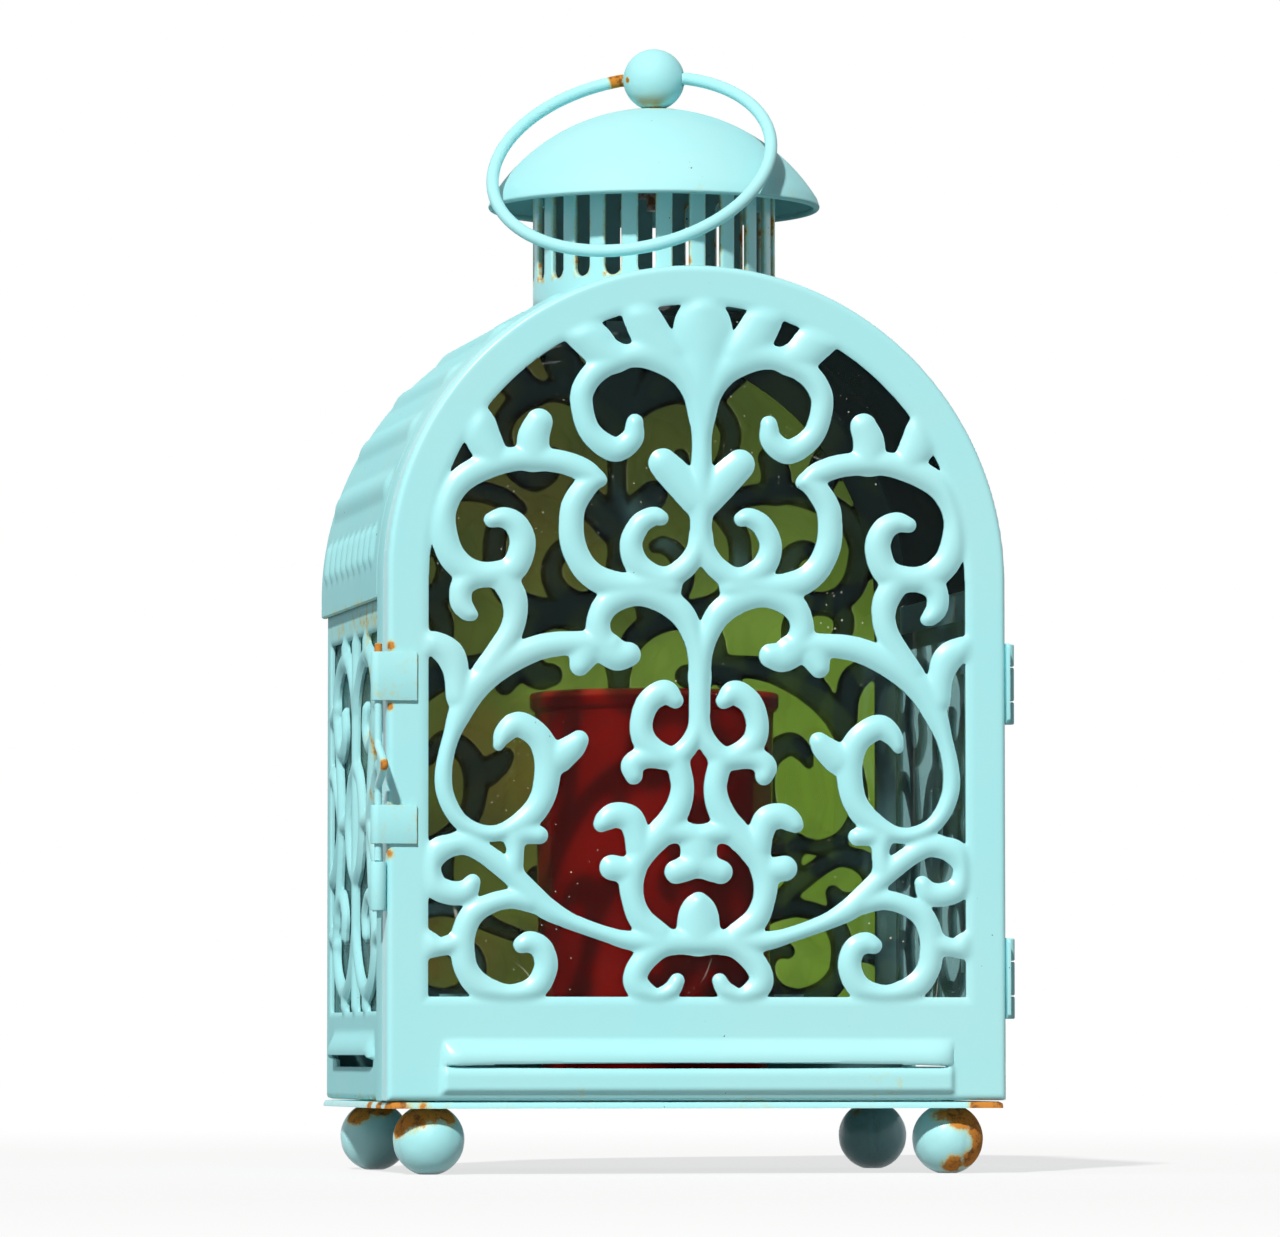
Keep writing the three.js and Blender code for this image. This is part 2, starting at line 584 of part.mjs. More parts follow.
// Front frame: an arched band with a stop behind the door
{
  const band = archOutline(archRadius, sill);
  band.holes.push(archOutline(archRadius - sheet, sill + sheet, THREE.Path));
  const stop = archOutline(archRadius, sill);
  stop.holes.push(archOutline(archRadius - frameStop, sill + frameStop, THREE.Path));
  let frame = doorwisePlate(band, frameFront, frameBand).add(doorwisePlate(stop, frameFront, sheet));
  for (const { x, y } of footSpots) {
    frame = frame.subtract(upright(screwHeadRadius + gap, sill - 1, sill + sheet + 1, x, y, 16));
  }
  piece('front_frame', frame, paint);
}

// Roof: a barrel shell with ribs from front to back, a row of upright flutes over each eave,
// and a smoke hole under the chimney
{
  const eave = spring - eaveDrop;
  const inner = archRadius - sheet;
  const band = new THREE.Shape();
  band.moveTo(archRadius, eave);
  band.lineTo(archRadius, spring);
  band.absarc(0, spring, archRadius, 0, Math.PI, false);
  band.lineTo(-archRadius, eave);
  band.lineTo(-inner, eave);
  band.lineTo(-inner, spring);
  band.absarc(0, spring, inner, Math.PI, 0, true);
  band.lineTo(inner, eave);
  band.closePath();
  let roof = doorwisePlate(band, wallFront, rearY - wallFront, 20);
  const chimneySeat = upright(chimneyRadius + gap, spring, spring + 2 * archRadius, 0, bodyMiddle, 44);
  const ribLength = rearY - wallFront - 2 * ribEndSetback - 2 * ribHalfWidth;
  for (const degrees of ribAngles) {
    for (const turn of [90 - degrees, degrees - 90]) {
      const rib = new THREE.CapsuleGeometry(ribHalfWidth, ribLength, 2, 8);
      rib.scale(1, 1, ribHeight / ribHalfWidth).translate(0, wallMiddle, archRadius);
      rib.rotateY(THREE.MathUtils.degToRad(turn)).translate(0, 0, spring);
      roof = roof.add(solid(rib).subtract(chimneySeat));
    }
  }
  for (let n = 0; n < fluteCount; n += 1) {
    const y = wallMiddle + (n - (fluteCount - 1) / 2) * flutePitch;
    for (const turn of [90 - fluteAngle, fluteAngle - 90]) {
      const flute = new THREE.CapsuleGeometry(fluteHalfWidth, fluteLength - 2 * fluteHalfWidth, 1, 8);
      flute.rotateZ(Math.PI / 2).scale(1, 1, ribHeight / fluteHalfWidth).translate(0, y, archRadius);
      flute.rotateY(THREE.MathUtils.degToRad(turn)).translate(0, 0, spring);
      roof = roof.add(solid(flute));
    }
  }
  roof = roof.subtract(upright(smokeHoleRadius, spring, spring + 2 * archRadius, 0, bodyMiddle, 32));
  piece('roof_shell', roof, paint);
}

// Chimney: a slotted tube cut to sit on the barrel
const domeCentreY = bodyMiddle;
{
  const tube = upright(chimneyRadius, spring + archRadius / 2, crown + chimneyRise, 0, domeCentreY, 44)
    .subtract(upright(chimneyRadius - sheet, spring, crown + chimneyRise + 1, 0, domeCentreY, 44));
  const saddle = new THREE.CylinderGeometry(archRadius + gap, archRadius + gap, 2 * bodyDepth, 72);
  let chimney = tube.subtract(solid(saddle.translate(0, 0, spring)));
  const slot = new THREE.Shape();
  const half = slotWidth / 2;
  slot.absarc(0, crown + slotFootRise + slotLength - half, half, 0, Math.PI, false);
  slot.absarc(0, crown + slotFootRise + half, half, Math.PI, 2 * Math.PI, false);
  slot.closePath();
  for (let n = 0; n < slotCount / 2; n += 1) {
    const turn = slotTurn + ((n + 0.5) * 360) / slotCount;
    const cutter = doorwisePlate(slot, -chimneyRadius - 2, 2 * chimneyRadius + 4, 1);
    chimney = chimney.subtract(cutter.rotate([0, 0, turn]).translate([0, domeCentreY, 0]));
  }
  piece('chimney', chimney, paint);
}

// Cap: the bridge across the chimney, the stem and its nut, the dome and the knob
const domeSphere = (domeRadius ** 2 + domeRise ** 2) / (2 * domeRise);
const domeApex = crown + domeRimRise + domeRise;
const domeSphereZ = domeApex - domeSphere;
const knobZ = domeApex + gap + knobRadius - knobSeat;
{
  const reach = chimneyRadius - sheet - gap;
  const halfWidth = bridgeWidth / 2;
  const top = crown + bridgeRise;
  const y = domeCentreY;
  const end = Math.sqrt(reach ** 2 - halfWidth ** 2) - gap;
  const strap = block(-end, end, y - halfWidth, y + halfWidth, top - sheet, top);
  const legs = block(-end, end, y - halfWidth, y + halfWidth, top - bridgeLeg, top)
    .subtract(block(-end + sheet, end - sheet, y - bridgeWidth, y + bridgeWidth, top - 2 * bridgeLeg, top + 1));
  const bore = upright(stemRadius + gap, top - 2 * bridgeLeg, top + 1, 0, y, 16);
  piece('crown_bridge', strap.add(legs).subtract(bore), paint);

  const stemTop = knobZ - handleWire - gap - 1.5;
  const stemBottom = top - sheet - gap - nutHeight - gap - stemGrip;
  piece('crown_stem', upright(stemRadius, stemBottom, stemTop, 0, y, 16), bareSteel);
  const nut = upright(nutRadius, top - sheet - gap - nutHeight, top - sheet - gap, 0, y, 6);
  piece('crown_nut', nut.subtract(upright(stemRadius + gap, 0, top + 20, 0, y, 16)), bareSteel);

  const arc = (radius, r0, r1, steps) => Array.from({ length: steps + 1 }, (_, n) => {
    const r = r0 + ((r1 - r0) * n) / steps;
    return [r, Math.sqrt(radius ** 2 - r ** 2)];
  });
  const inner = arc(domeSphere - sheet, stemRadius + gap, domeRadius - sheet, 6);
  const outer = arc(domeSphere, domeRadius, stemRadius + gap, 6);
  const bead = [];
  const rimZ = domeSphere - domeRise;
  for (let n = 0; n <= 4; n += 1) {
    const a = THREE.MathUtils.degToRad(n * 67.5 - 210);
    bead.push([domeRadius - rimBead + rimBead * Math.cos(a), rimZ - rimBead + rimBead * Math.sin(a)]);
  }
  const shell = turned([...inner.slice(0, -1), ...bead, ...outer.slice(1), inner[0]], 32);
  piece('dome_cap', shell.translate([0, y, domeSphereZ]), paint);

  const ball = solid(new THREE.SphereGeometry(knobRadius, 18, 10).rotateX(Math.PI / 2).translate(0, y, knobZ));
  const above = block(-knobRadius, knobRadius, y - knobRadius, y + knobRadius, domeApex + gap, knobZ + knobRadius);
  const socket = upright(stemRadius + gap, domeApex - 5, stemTop + gap, 0, y, 16);
  const eye = new THREE.CylinderGeometry(handleWire + gap, handleWire + gap, 4 * knobRadius, 16);
  eye.rotateZ(Math.PI / 2).rotateZ(THREE.MathUtils.degToRad(-handleTurn)).translate(0, y, knobZ);
  piece('knob_ball', ball.intersect(above).subtract(socket).subtract(solid(eye)), paint);
}

// Ring handle: a wire bent to a ring, its ends meeting inside the knob, leaning on the roof's front
const handleAxis = new THREE.Vector3(1, 0, 0).applyAxisAngle(
  new THREE.Vector3(0, 0, 1),
  THREE.MathUtils.degToRad(-handleTurn),
);

function handlePoint(lean, along) {
  const chord = knobRadius + 0.8;
  const drop = Math.sqrt(handleRadius ** 2 - chord ** 2);
  const start = Math.atan2(chord, drop);
  const front = new THREE.Vector3(0, 0, 1).cross(handleAxis).multiplyScalar(-1);
  const hang = front.multiplyScalar(Math.sin(lean)).add(new THREE.Vector3(0, 0, -Math.cos(lean)));
  const a = start + along * 2 * (Math.PI - start);
  return new THREE.Vector3(0, domeCentreY, knobZ)
    .addScaledVector(hang, drop - handleRadius * Math.cos(a))
    .addScaledVector(handleAxis, handleRadius * Math.sin(a));
}

function handleClearance(lean) {
  let least = Infinity;
  for (let n = 0; n <= 120; n += 1) {
    const p = handlePoint(lean, n / 120);
    const overBarrel = Math.hypot(p.x, p.z - spring) - archRadius - ribHeight * (p.y > wallFront ? 1 : 0);
    const overDome = p.distanceTo(new THREE.Vector3(0, domeCentreY, domeSphereZ)) - domeSphere;
    least = Math.min(least, overBarrel, overDome);
  }
  return least;
}

let handleLean = 0;
while (handleClearance(handleLean) < handleWire + gap) handleLean += THREE.MathUtils.degToRad(0.1);
{
  const centre = new THREE.Vector3(0, domeCentreY, knobZ);
  const points = [centre.clone().addScaledVector(handleAxis, handleSeam / 2)];
  points.push(centre.clone().addScaledVector(handleAxis, knobRadius / 2));
  for (let n = 0; n <= 24; n += 1) points.push(handlePoint(handleLean, n / 24));
  points.push(centre.clone().addScaledVector(handleAxis, -knobRadius / 2));
  points.push(centre.clone().addScaledVector(handleAxis, -handleSeam / 2));
  const section = new THREE.Shape();
  section.absarc(0, 0, handleWire, 0, 2 * Math.PI, false);
  const wire = new THREE.ExtrudeGeometry(section, {
    steps: 48,
    curveSegments: 4,
    extrudePath: new THREE.CatmullRomCurve3(points),
  });
  piece('ring_handle', solid(wire), paint);
}

// Door: a shallow pressed pan with the scroll work, and a louvre across its foot
{
  const skin = archOutline(archRadius, sill);
  skin.holes.push(...fineOpenings);
  const flange = archOutline(archRadius, sill);
  flange.holes.push(archOutline(archRadius - sheet, sill + sheet, THREE.Path));
  let door = doorwisePlate(skin, faceY, sheet).add(doorwisePlate(flange, faceY, doorFlange));
  const slitTop = sill + louvreSill + louvreSlit;
  const upper = louvreBead(louvreLength, louvreHeight, louvreRise, 0, faceY, slitTop + louvreHeight / 2);
  const lower = louvreBead(louvreLength, louvreSill - 1, louvreRise, 0, faceY, sill + 1 + (louvreSill - 1) / 2);
  const outside = block(-archRadius, archRadius, faceY - 9, faceY + sheet, sill, spring);
  door = door.add(upper.add(lower).intersect(outside));
  const slitHalf = louvreLength / 2 - 2;
  door = door.subtract(block(-slitHalf, slitHalf, faceY - 9, faceY + 9, sill + louvreSill, slitTop));
  piece('door_panel', door, paint);
}

// Panes: one behind each pierced sheet, held by turned clips
const doorGlassY = faceY + sheet + gap;
{
  const outline = archOutline(archRadius - sheet - gap, sill + windowBottom - glassLap);
  piece('door_glass', doorwisePlate(outline, doorGlassY, glassThickness, 24), clearGlass);
  const rearOutline = archOutline(wallInner - 2 * glassLap, sill + windowBottom - glassLap);
  const rearGlassY = rearSheetY - sheet - gap - gap - glassThickness;
  piece('rear_glass', doorwisePlate(rearOutline, rearGlassY, glassThickness, 24), clearGlass);
  for (const [name, side] of [['left', -1], ['right', 1]]) {
    const x0 = wallInner - gap - glassThickness;
    const y0 = wallFront + sheet + gap;
    const y1 = rearGlassY - gap;
    const z0 = sill + sideWindowBottom - glassLap;
    const z1 = sill + sideWindowTop + glassLap;
    const [xa, xb] = side > 0 ? [x0, x0 + glassThickness] : [-x0 - glassThickness, -x0];
    piece(`${name}_glass`, block(xa, xb, y0, y1, z0, z1), clearGlass);
    for (const [place, z] of [['lower', z0 + sideClipInset], ['upper', z1 - sideClipInset]]) {
      const inside = x0 - gap;
      const [ca, cb] = side > 0 ? [inside - clipSheet, inside] : [-inside, -inside + clipSheet];
      const clip = block(ca, cb, y0, y0 + clipReach, z, z + clipWidth);
      piece(`${name}_glass_clip_${place}`, clip, paint);
    }
    const [lowClip, highClip] = doorClipPlaces.map((share) => sill + share * archHeight);
    for (const [place, z] of [['lower', lowClip], ['upper', highClip]]) {
      const clipY = doorGlassY + glassThickness + gap;
      const edge = archRadius - sheet - gap;
      const [ea, eb] = side > 0 ? [edge - clipReach, edge] : [-edge, -edge + clipReach];
      const [la, lb] = side > 0 ? [edge - clipSheet, edge] : [-edge, -edge + clipSheet];
      const flat = block(ea, eb, clipY, clipY + clipSheet, z, z + clipWidth);
      const leg = block(la, lb, clipY, flangeRear - gap, z, z + clipWidth);
      piece(`door_glass_clip_${place}_${name}`, flat.add(leg), paint);
    }
  }
  // A stepped clip: its foot lies on the rear sheet beyond the pane's edge, its tongue on the pane.
  const steppedClip = (x, edgeZ, away) => {
    const tongueY = rearGlassY - gap - clipSheet;
    const footY = rearSheetY - sheet - gap - gap;
    const span = (a, b) => [Math.min(edgeZ + away * a, edgeZ + away * b), Math.max(edgeZ + away * a, edgeZ + away * b)];
    const x0 = x - clipWidth / 2;
    const x1 = x + clipWidth / 2;
    const tongue = block(x0, x1, tongueY, tongueY + clipSheet, ...span(-clipReach, 1 + clipSheet));
    const riser = block(x0, x1, tongueY, footY, ...span(1, 1 + clipSheet));
    const foot = block(x0, x1, footY - clipSheet, footY, ...span(1, 1 + clipReach));
    return tongue.add(riser).add(foot);
  };
  piece('rear_glass_clip_left', steppedClip(-rearClipOffset, sill + windowBottom - glassLap, -1), paint);
  piece('rear_glass_clip_right', steppedClip(rearClipOffset, sill + windowBottom - glassLap, -1), paint);
  piece('rear_glass_clip_top', steppedClip(0, spring + wallInner - 2 * glassLap, 1), paint);
}

// Hinges: two butt hinges of three knuckles on the right edge
const hingeX = archRadius + gap + hingeRadius;
const hingeY = (flangeRear + frameFront) / 2;
for (const [name, middle] of [['lower', hingeHeights[0]], ['upper', hingeHeights[1]]]) {
  const z0 = sill + middle - hingeWidth / 2;
  const z1 = z0 + hingeWidth;
  const m0 = sill + middle - hingeMiddle / 2;
  const m1 = m0 + hingeMiddle;
  const leafIn = archRadius + gap;
  const leafOut = leafIn + hingeLeaf;
  const bore = upright(hingePin + gap, z0 - 1, z1 + 1, hingeX, hingeY, 12);
  const knuckle = (a, b) => upright(hingeRadius, a, b, hingeX, hingeY, 14);
  const sweep = (a, b) => upright(hingeRadius + gap, a - gap, b + gap, hingeX, hingeY, 14);
  const bodyPlate = block(leafIn, leafOut, hingeY + gap, hingeY + hingeLeafReach, z0, z1);
  const doorPlate = block(leafIn, leafOut, hingeY - hingeLeafReach, hingeY - gap, z0, z1);
  const bodyLeaf = bodyPlate
    .subtract(sweep(z0 - 1, m0 - gap))
    .subtract(sweep(m1 + gap, z1 + 1))
    .add(knuckle(m0, m1));
  const doorLeaf = doorPlate
    .subtract(sweep(m0, m1))
    .add(knuckle(z0, m0 - gap))
    .add(knuckle(m1 + gap, z1));
  piece(`${name}_hinge_body_leaf`, bodyLeaf.subtract(bore), paint);
  piece(`${name}_hinge_door_leaf`, doorLeaf.subtract(bore), paint);
  piece(`${name}_hinge_pin`, upright(hingePin, z0, z1, hingeX, hingeY, 10), bareSteel);
}

// Latch: a wire bolt with a finger pull, two straps that hold it on the door, and its keeper
const strapInner = boltRadius + gap;
const strapOuter = strapInner + strapSheet;
const boltX = -(archRadius + gap + strapOuter);
const boltY = faceY - gap - strapSheet + strapOuter;
{
  const strap = new THREE.Shape();
  strap.moveTo(boltX + strapReach, boltY - strapOuter);
  strap.lineTo(boltX + strapReach, boltY - strapInner);
  strap.lineTo(boltX, boltY - strapInner);
  strap.absarc(boltX, boltY, strapInner, 1.5 * Math.PI, 0.5 * Math.PI, true);
  strap.lineTo(boltX, boltY + strapOuter);
  strap.absarc(boltX, boltY, strapOuter, 0.5 * Math.PI, 1.5 * Math.PI, false);
  strap.closePath();
  for (const [name, [z0, z1]] of [['lower', strapSpans[0]], ['upper', strapSpans[1]]]) {
    const bar = new THREE.ExtrudeGeometry(strap, { depth: z1 - z0, bevelEnabled: false, curveSegments: 6 });
    piece(`latch_strap_${name}`, solid(bar.translate(0, 0, sill + z0)), paint);
  }

  const boltTip = keeperTop + gap;
  const corner = 1.6;
  const along = (y, z) => new THREE.Vector3(boltX, boltY - y, sill + z);
  const middle = (pullTop + pullBottom) / 2;
  const path = new THREE.CurvePath();
  const stops = [along(0, boltTop), along(0, pullTop), along(pullReach, middle), along(0, pullBottom), along(0, boltTip)];
  let from = stops[0];
  for (let n = 1; n < stops.length - 1; n += 1) {
    const before = stops[n].clone().add(stops[n - 1].clone().sub(stops[n]).setLength(corner));
    const after = stops[n].clone().add(stops[n + 1].clone().sub(stops[n]).setLength(corner));
    path.add(new THREE.LineCurve3(from, before));
    path.add(new THREE.QuadraticBezierCurve3(before, stops[n], after));
    from = after;
  }
  path.add(new THREE.LineCurve3(from, stops[stops.length - 1]));
  const section = new THREE.Shape();
  section.absarc(0, 0, boltRadius, 0, 2 * Math.PI, false);
  const wire = new THREE.ExtrudeGeometry(section, { steps: 36, curveSegments: 4, extrudePath: path });
  piece('latch_bolt', solid(wire), paint);

  const keeperOuter = boltRadius + gap + keeperWall;
  const tube = upright(keeperOuter, sill + keeperBottom, sill + keeperTop, boltX, boltY, 16);
  const leafX = -(archRadius + gap);
  const leaf = block(leafX - keeperWall, leafX, boltY, frameFront + keeperLeaf, sill + keeperBottom, sill + keeperTop);
  const bore = upright(boltRadius + gap, sill + keeperBottom - 1, sill + keeperTop + 1, boltX, boltY, 16);
  piece('latch_keeper', tube.add(leaf).subtract(bore), paint);
}

// Candle: a red cup standing on the tray, the wax in it and its wick
{
  const floor = trayTop + gap;
  const wallAt = (z) => cupFootRadius + ((cupTopRadius - cupFootRadius) * z) / cupHeight;
  const neck = cupHeight - cupRimHeight;
  const cup = turned([
    [0, 0], [cupFootRadius - 1.5, 0], [cupFootRadius, 1.5], [wallAt(neck), neck], [cupRimRadius, neck + 1.2],
    [cupRimRadius, cupHeight - 0.6], [cupRimRadius - 0.8, cupHeight], [cupRimRadius - cupWall, cupHeight],
    [wallAt(neck) - cupWall, neck], [cupFootRadius - cupWall, 2.4], [0, 2.4],
  ], 36);
  piece('candle_cup', cup.translate([0, bodyMiddle, floor]), redPlastic);
  const waxFloor = 2.4 + gap;
  const waxAt = (z) => wallAt(z) - cupWall - gap;
  const candle = turned([
    [0, waxFloor], [waxAt(0), waxFloor], [waxAt(waxHeight), waxHeight], [waxAt(waxHeight) - 3, waxHeight - 1.5],
    [wickRadius + gap, waxHeight - 2.5], [wickRadius + gap, waxFloor + 4], [0, waxFloor + 4],
  ], 24);
  piece('candle_wax', candle.translate([0, bodyMiddle, floor]), wax);
  const wickFoot = floor + waxFloor + 4 + gap;
  piece('candle_wick', upright(wickRadius, wickFoot, floor + waxHeight + wickHeight, 0, bodyMiddle, 8), wickCord);
}

// The origin is the middle of the lowest face of the lantern's box.
const bounds = new THREE.Box3().setFromObject(lantern);
lantern.position.set(-(bounds.min.x + bounds.max.x) / 2, -(bounds.min.y + bounds.max.y) / 2, -bounds.min.z);
lantern.updateMatrixWorld(true);

export default lantern;
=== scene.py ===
import math

import bmesh
import bpy
import numpy as np
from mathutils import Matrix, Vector, noise


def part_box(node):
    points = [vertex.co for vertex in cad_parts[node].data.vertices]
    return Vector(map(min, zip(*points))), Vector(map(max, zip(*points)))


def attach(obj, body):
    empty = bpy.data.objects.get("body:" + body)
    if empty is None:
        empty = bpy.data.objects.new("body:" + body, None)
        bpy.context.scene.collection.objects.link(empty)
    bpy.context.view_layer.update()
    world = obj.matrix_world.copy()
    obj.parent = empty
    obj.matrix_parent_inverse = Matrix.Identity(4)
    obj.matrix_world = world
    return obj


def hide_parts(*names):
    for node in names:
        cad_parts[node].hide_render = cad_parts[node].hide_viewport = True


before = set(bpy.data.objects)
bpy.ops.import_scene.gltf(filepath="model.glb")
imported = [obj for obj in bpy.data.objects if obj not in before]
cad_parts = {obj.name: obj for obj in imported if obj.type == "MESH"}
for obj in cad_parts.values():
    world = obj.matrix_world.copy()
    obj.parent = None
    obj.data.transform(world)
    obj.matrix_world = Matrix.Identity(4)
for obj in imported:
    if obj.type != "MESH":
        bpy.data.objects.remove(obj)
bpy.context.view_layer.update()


# The camera stands two metres off, to the left of the lantern's front and three centimetres above
# the ground, and looks slightly up at the lantern through a long lens.
eye = (-0.37883, -1.97841, 0.02995)
turned_right = math.radians(10.70)
looking_up = math.radians(3.20)
sensor_width = 36.0
focal_length = 219.56
view_end = 50.0

camera = bpy.data.objects.new("camera", bpy.data.cameras.new("camera"))
camera.location = eye
camera.rotation_euler = (math.radians(90) + looking_up, 0, -turned_right)
camera.data.sensor_fit = "HORIZONTAL"
camera.data.sensor_width = sensor_width
camera.data.lens = focal_length
camera.data.clip_end = view_end
bpy.context.collection.objects.link(camera)
bpy.context.scene.camera = camera
bpy.context.scene.view_settings.view_transform = "Standard"


# The studio: a pale floor that keeps the lantern's shadow, an even pale surround, a lamp high on
# the left in front, where the sun stood, and a weak broad one that fills the left side.
key_travel = Vector((0.50, 1.0, -0.97))
key_strength = 3.45
key_spread = math.radians(3)
key_tint = (1.0, 0.985, 0.955)
fill_travel = Vector((1.0, 0.25, -0.30))
fill_strength = 0.25
fill_spread = math.radians(60)
sky_tint = (0.93, 0.97, 1.0)
surround_strength = 0.14
white = (1, 1, 1, 1)
floor_reach = 6.0
floor_shade = 0.35
floor_pale = 0.9
floor_roughness = 0.9
glow_near = 0.72
glow_reach = (0.40, 1.1)


def give(node, inputs):
    """Gives inputs of a node, by name or number, a value or another node's output."""
    for key, value in inputs.items():
        if isinstance(value, bpy.types.NodeSocket):
            node.id_data.links.new(value, node.inputs[key])
        else:
            node.inputs[key].default_value = value


def add_node(tree, kind, inputs, **settings):
    """A new shader node with its settings and inputs."""
    node = tree.nodes.new(kind)
    for setting, value in settings.items():
        setattr(node, setting, value)
    give(node, inputs)
    return node


def combined(operation, a, b):
    """Two values worked out together, of which at least one is a node's output."""
    tree = next(value.id_data for value in (a, b) if isinstance(value, bpy.types.NodeSocket))
    return add_node(tree, "ShaderNodeMath", {0: a, 1: b}, operation=operation).outputs[0]


def seen_directly(tree):
    """1 for what the camera sees straight, in gloss or through glass, and 0 for light on the pieces."""
    ray = add_node(tree, "ShaderNodeLightPath", {}).outputs
    seen = combined("MAXIMUM", ray["Is Camera Ray"], ray["Is Glossy Ray"])
    seen = combined("MAXIMUM", seen, ray["Is Transmission Ray"])
    return combined("MULTIPLY", seen, combined("LESS_THAN", ray["Diffuse Depth"], 0.5))


def new_finish(name):
    """A new material and its shader."""
    finish = bpy.data.materials.new(name)
    finish.use_nodes = True
    return finish, finish.node_tree.nodes["Principled BSDF"]


def pale_floor():
    """Matt white that takes shadows near the lantern and glows as white as the surround far off."""
    finish, matt = new_finish("pale_floor")
    tree = finish.node_tree
    seen = seen_directly(tree)
    tone = add_node(tree, "ShaderNodeMapRange", {"Value": seen, "To Min": floor_shade, "To Max": floor_pale})
    give(matt, {
        "Base Color": tone.outputs["Result"], "Roughness": floor_roughness, "Specular IOR Level": 0.0,
    })
    position = add_node(tree, "ShaderNodeNewGeometry", {}).outputs["Position"]
    from_middle = add_node(tree, "ShaderNodeVectorMath", {0: position}, operation="LENGTH")
    fading = add_node(tree, "ShaderNodeMapRange", {
        "Value": from_middle.outputs["Value"],
        "From Min": glow_reach[0], "From Max": glow_reach[1], "To Min": glow_near, "To Max": 1.0,
    })
    glowing = combined("MULTIPLY", seen, fading.outputs["Result"])
    glow = add_node(tree, "ShaderNodeEmission", {"Color": white})
    mixed = add_node(tree, "ShaderNodeMixShader", {0: glowing, 1: matt.outputs[0], 2: glow.outputs[0]})
    give(tree.nodes["Material Output"], {0: mixed.outputs[0]})
    return finish


world = bpy.data.worlds.new("pale_surround")
world.use_nodes = True
bpy.context.scene.world = world
sky = world.node_tree
sky.nodes.clear()
surround = add_node(sky, "ShaderNodeBackground", {"Color": (*sky_tint, 1), "Strength": surround_strength})
backdrop = add_node(sky, "ShaderNodeBackground", {"Color": white, "Strength": 1.0})
either = add_node(sky, "ShaderNodeMixShader", {
    0: seen_directly(sky), 1: surround.outputs[0], 2: backdrop.outputs[0],
})
add_node(sky, "ShaderNodeOutputWorld", {0: either.outputs[0]})

for name, travel, strength, spread, tint in (
    ("key_lamp", key_travel, key_strength, key_spread, key_tint),
    ("fill_lamp", fill_travel, fill_strength, fill_spread, sky_tint),
):
    lamp = bpy.data.objects.new(name, bpy.data.lights.new(name, "SUN"))
    lamp.data.energy = strength
    lamp.data.angle = spread
    lamp.data.color = tint
    lamp.rotation_euler = travel.to_track_quat("-Z", "Y").to_euler()
    bpy.context.collection.objects.link(lamp)

floor_mesh = bpy.data.meshes.new("floor")
corners = [(x * floor_reach, y * floor_reach, 0) for x, y in ((-1, -1), (1, -1), (1, 1), (-1, 1))]
floor_mesh.from_pydata(corners, [], [(0, 1, 2, 3)])
floor_mesh.materials.append(pale_floor())
floor = bpy.data.objects.new("floor", floor_mesh)
bpy.context.collection.objects.link(floor)


# The ball feet: steel balls of two pressed halves, painted with the rest, each on a screw through
# the tray. They stand in the wet, and rust has run down over them from the tray's edge.
MM = 0.001
foot_radius = 9.0
foot_centre = 8.7
foot_top = 16.7
foot_bore = 1.9
foot_bore_floor = 9.2
foot_x = 66.75
foot_y = 44.4
seam_depth = 0.28
seam_width = 0.4
foot_dent = 0.12
foot_dent_scale = 0.35

enamel_fresh = (0.395, 0.825, 0.865, 1)
enamel_faded = (0.435, 0.815, 0.840, 1)
enamel_stained = (0.60, 0.60, 0.26, 1)
rust_orange = (0.62, 0.235, 0.028, 1)
rust_brown = (0.20, 0.070, 0.014, 1)
rust_black = (0.045, 0.022, 0.013, 1)
# The dark teal of this paint in shade, put on inside faces as painted shade, with some candle soot.
candle_soot = (0.016, 0.060, 0.068, 1)
relief_height = 0.3

# Every size is in the drawing's millimetres. The dome stands on the drawing's axis, at x = 0 and
# y = axis_y, and set_off moves the drawing to where the frame has the dome.
axis_y = 3.65
dome_low, dome_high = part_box("dome_cap")
set_off = np.array([
    (dome_low.x + dome_high.x) / 2 / MM,
    (dome_low.y + dome_high.y) / 2 / MM - axis_y,
    0,
])


def place_in(finish):
    """Where on the lantern each point lies, for a material's textures."""
    return add_node(finish.node_tree, "ShaderNodeTexCoord", {}).outputs["Object"]


def mark_in(finish, mark):
    """A mark, such as wear or the painted shade with soot, that make_piece has put on each point."""
    return add_node(finish.node_tree, "ShaderNodeAttribute", {}, attribute_name=mark).outputs["Fac"]


def noise_of(place, scale, detail, roughness=0.55, distortion=0.0):
    """A cloudy value around a half."""
    return add_node(place.id_data, "ShaderNodeTexNoise", {
        "Vector": place, "Scale": scale, "Detail": detail, "Roughness": roughness, "Distortion": distortion,
    }).outputs["Fac"]


def ramp_of(value, low, high, to_low=0.0, to_high=1.0):
    """A value that eases from to_low to to_high while the given one goes from low to high."""
    return add_node(value.id_data, "ShaderNodeMapRange", {
        "Value": value, "From Min": low, "From Max": high, "To Min": to_low, "To Max": to_high,
    }, interpolation_type="SMOOTHSTEP").outputs["Result"]


def mix_of(factor, a, b):
    """Colour a, turning to colour b with the factor."""
    return add_node(factor.id_data, "ShaderNodeMix", {0: factor, 6: a, 7: b}, data_type="RGBA").outputs[2]


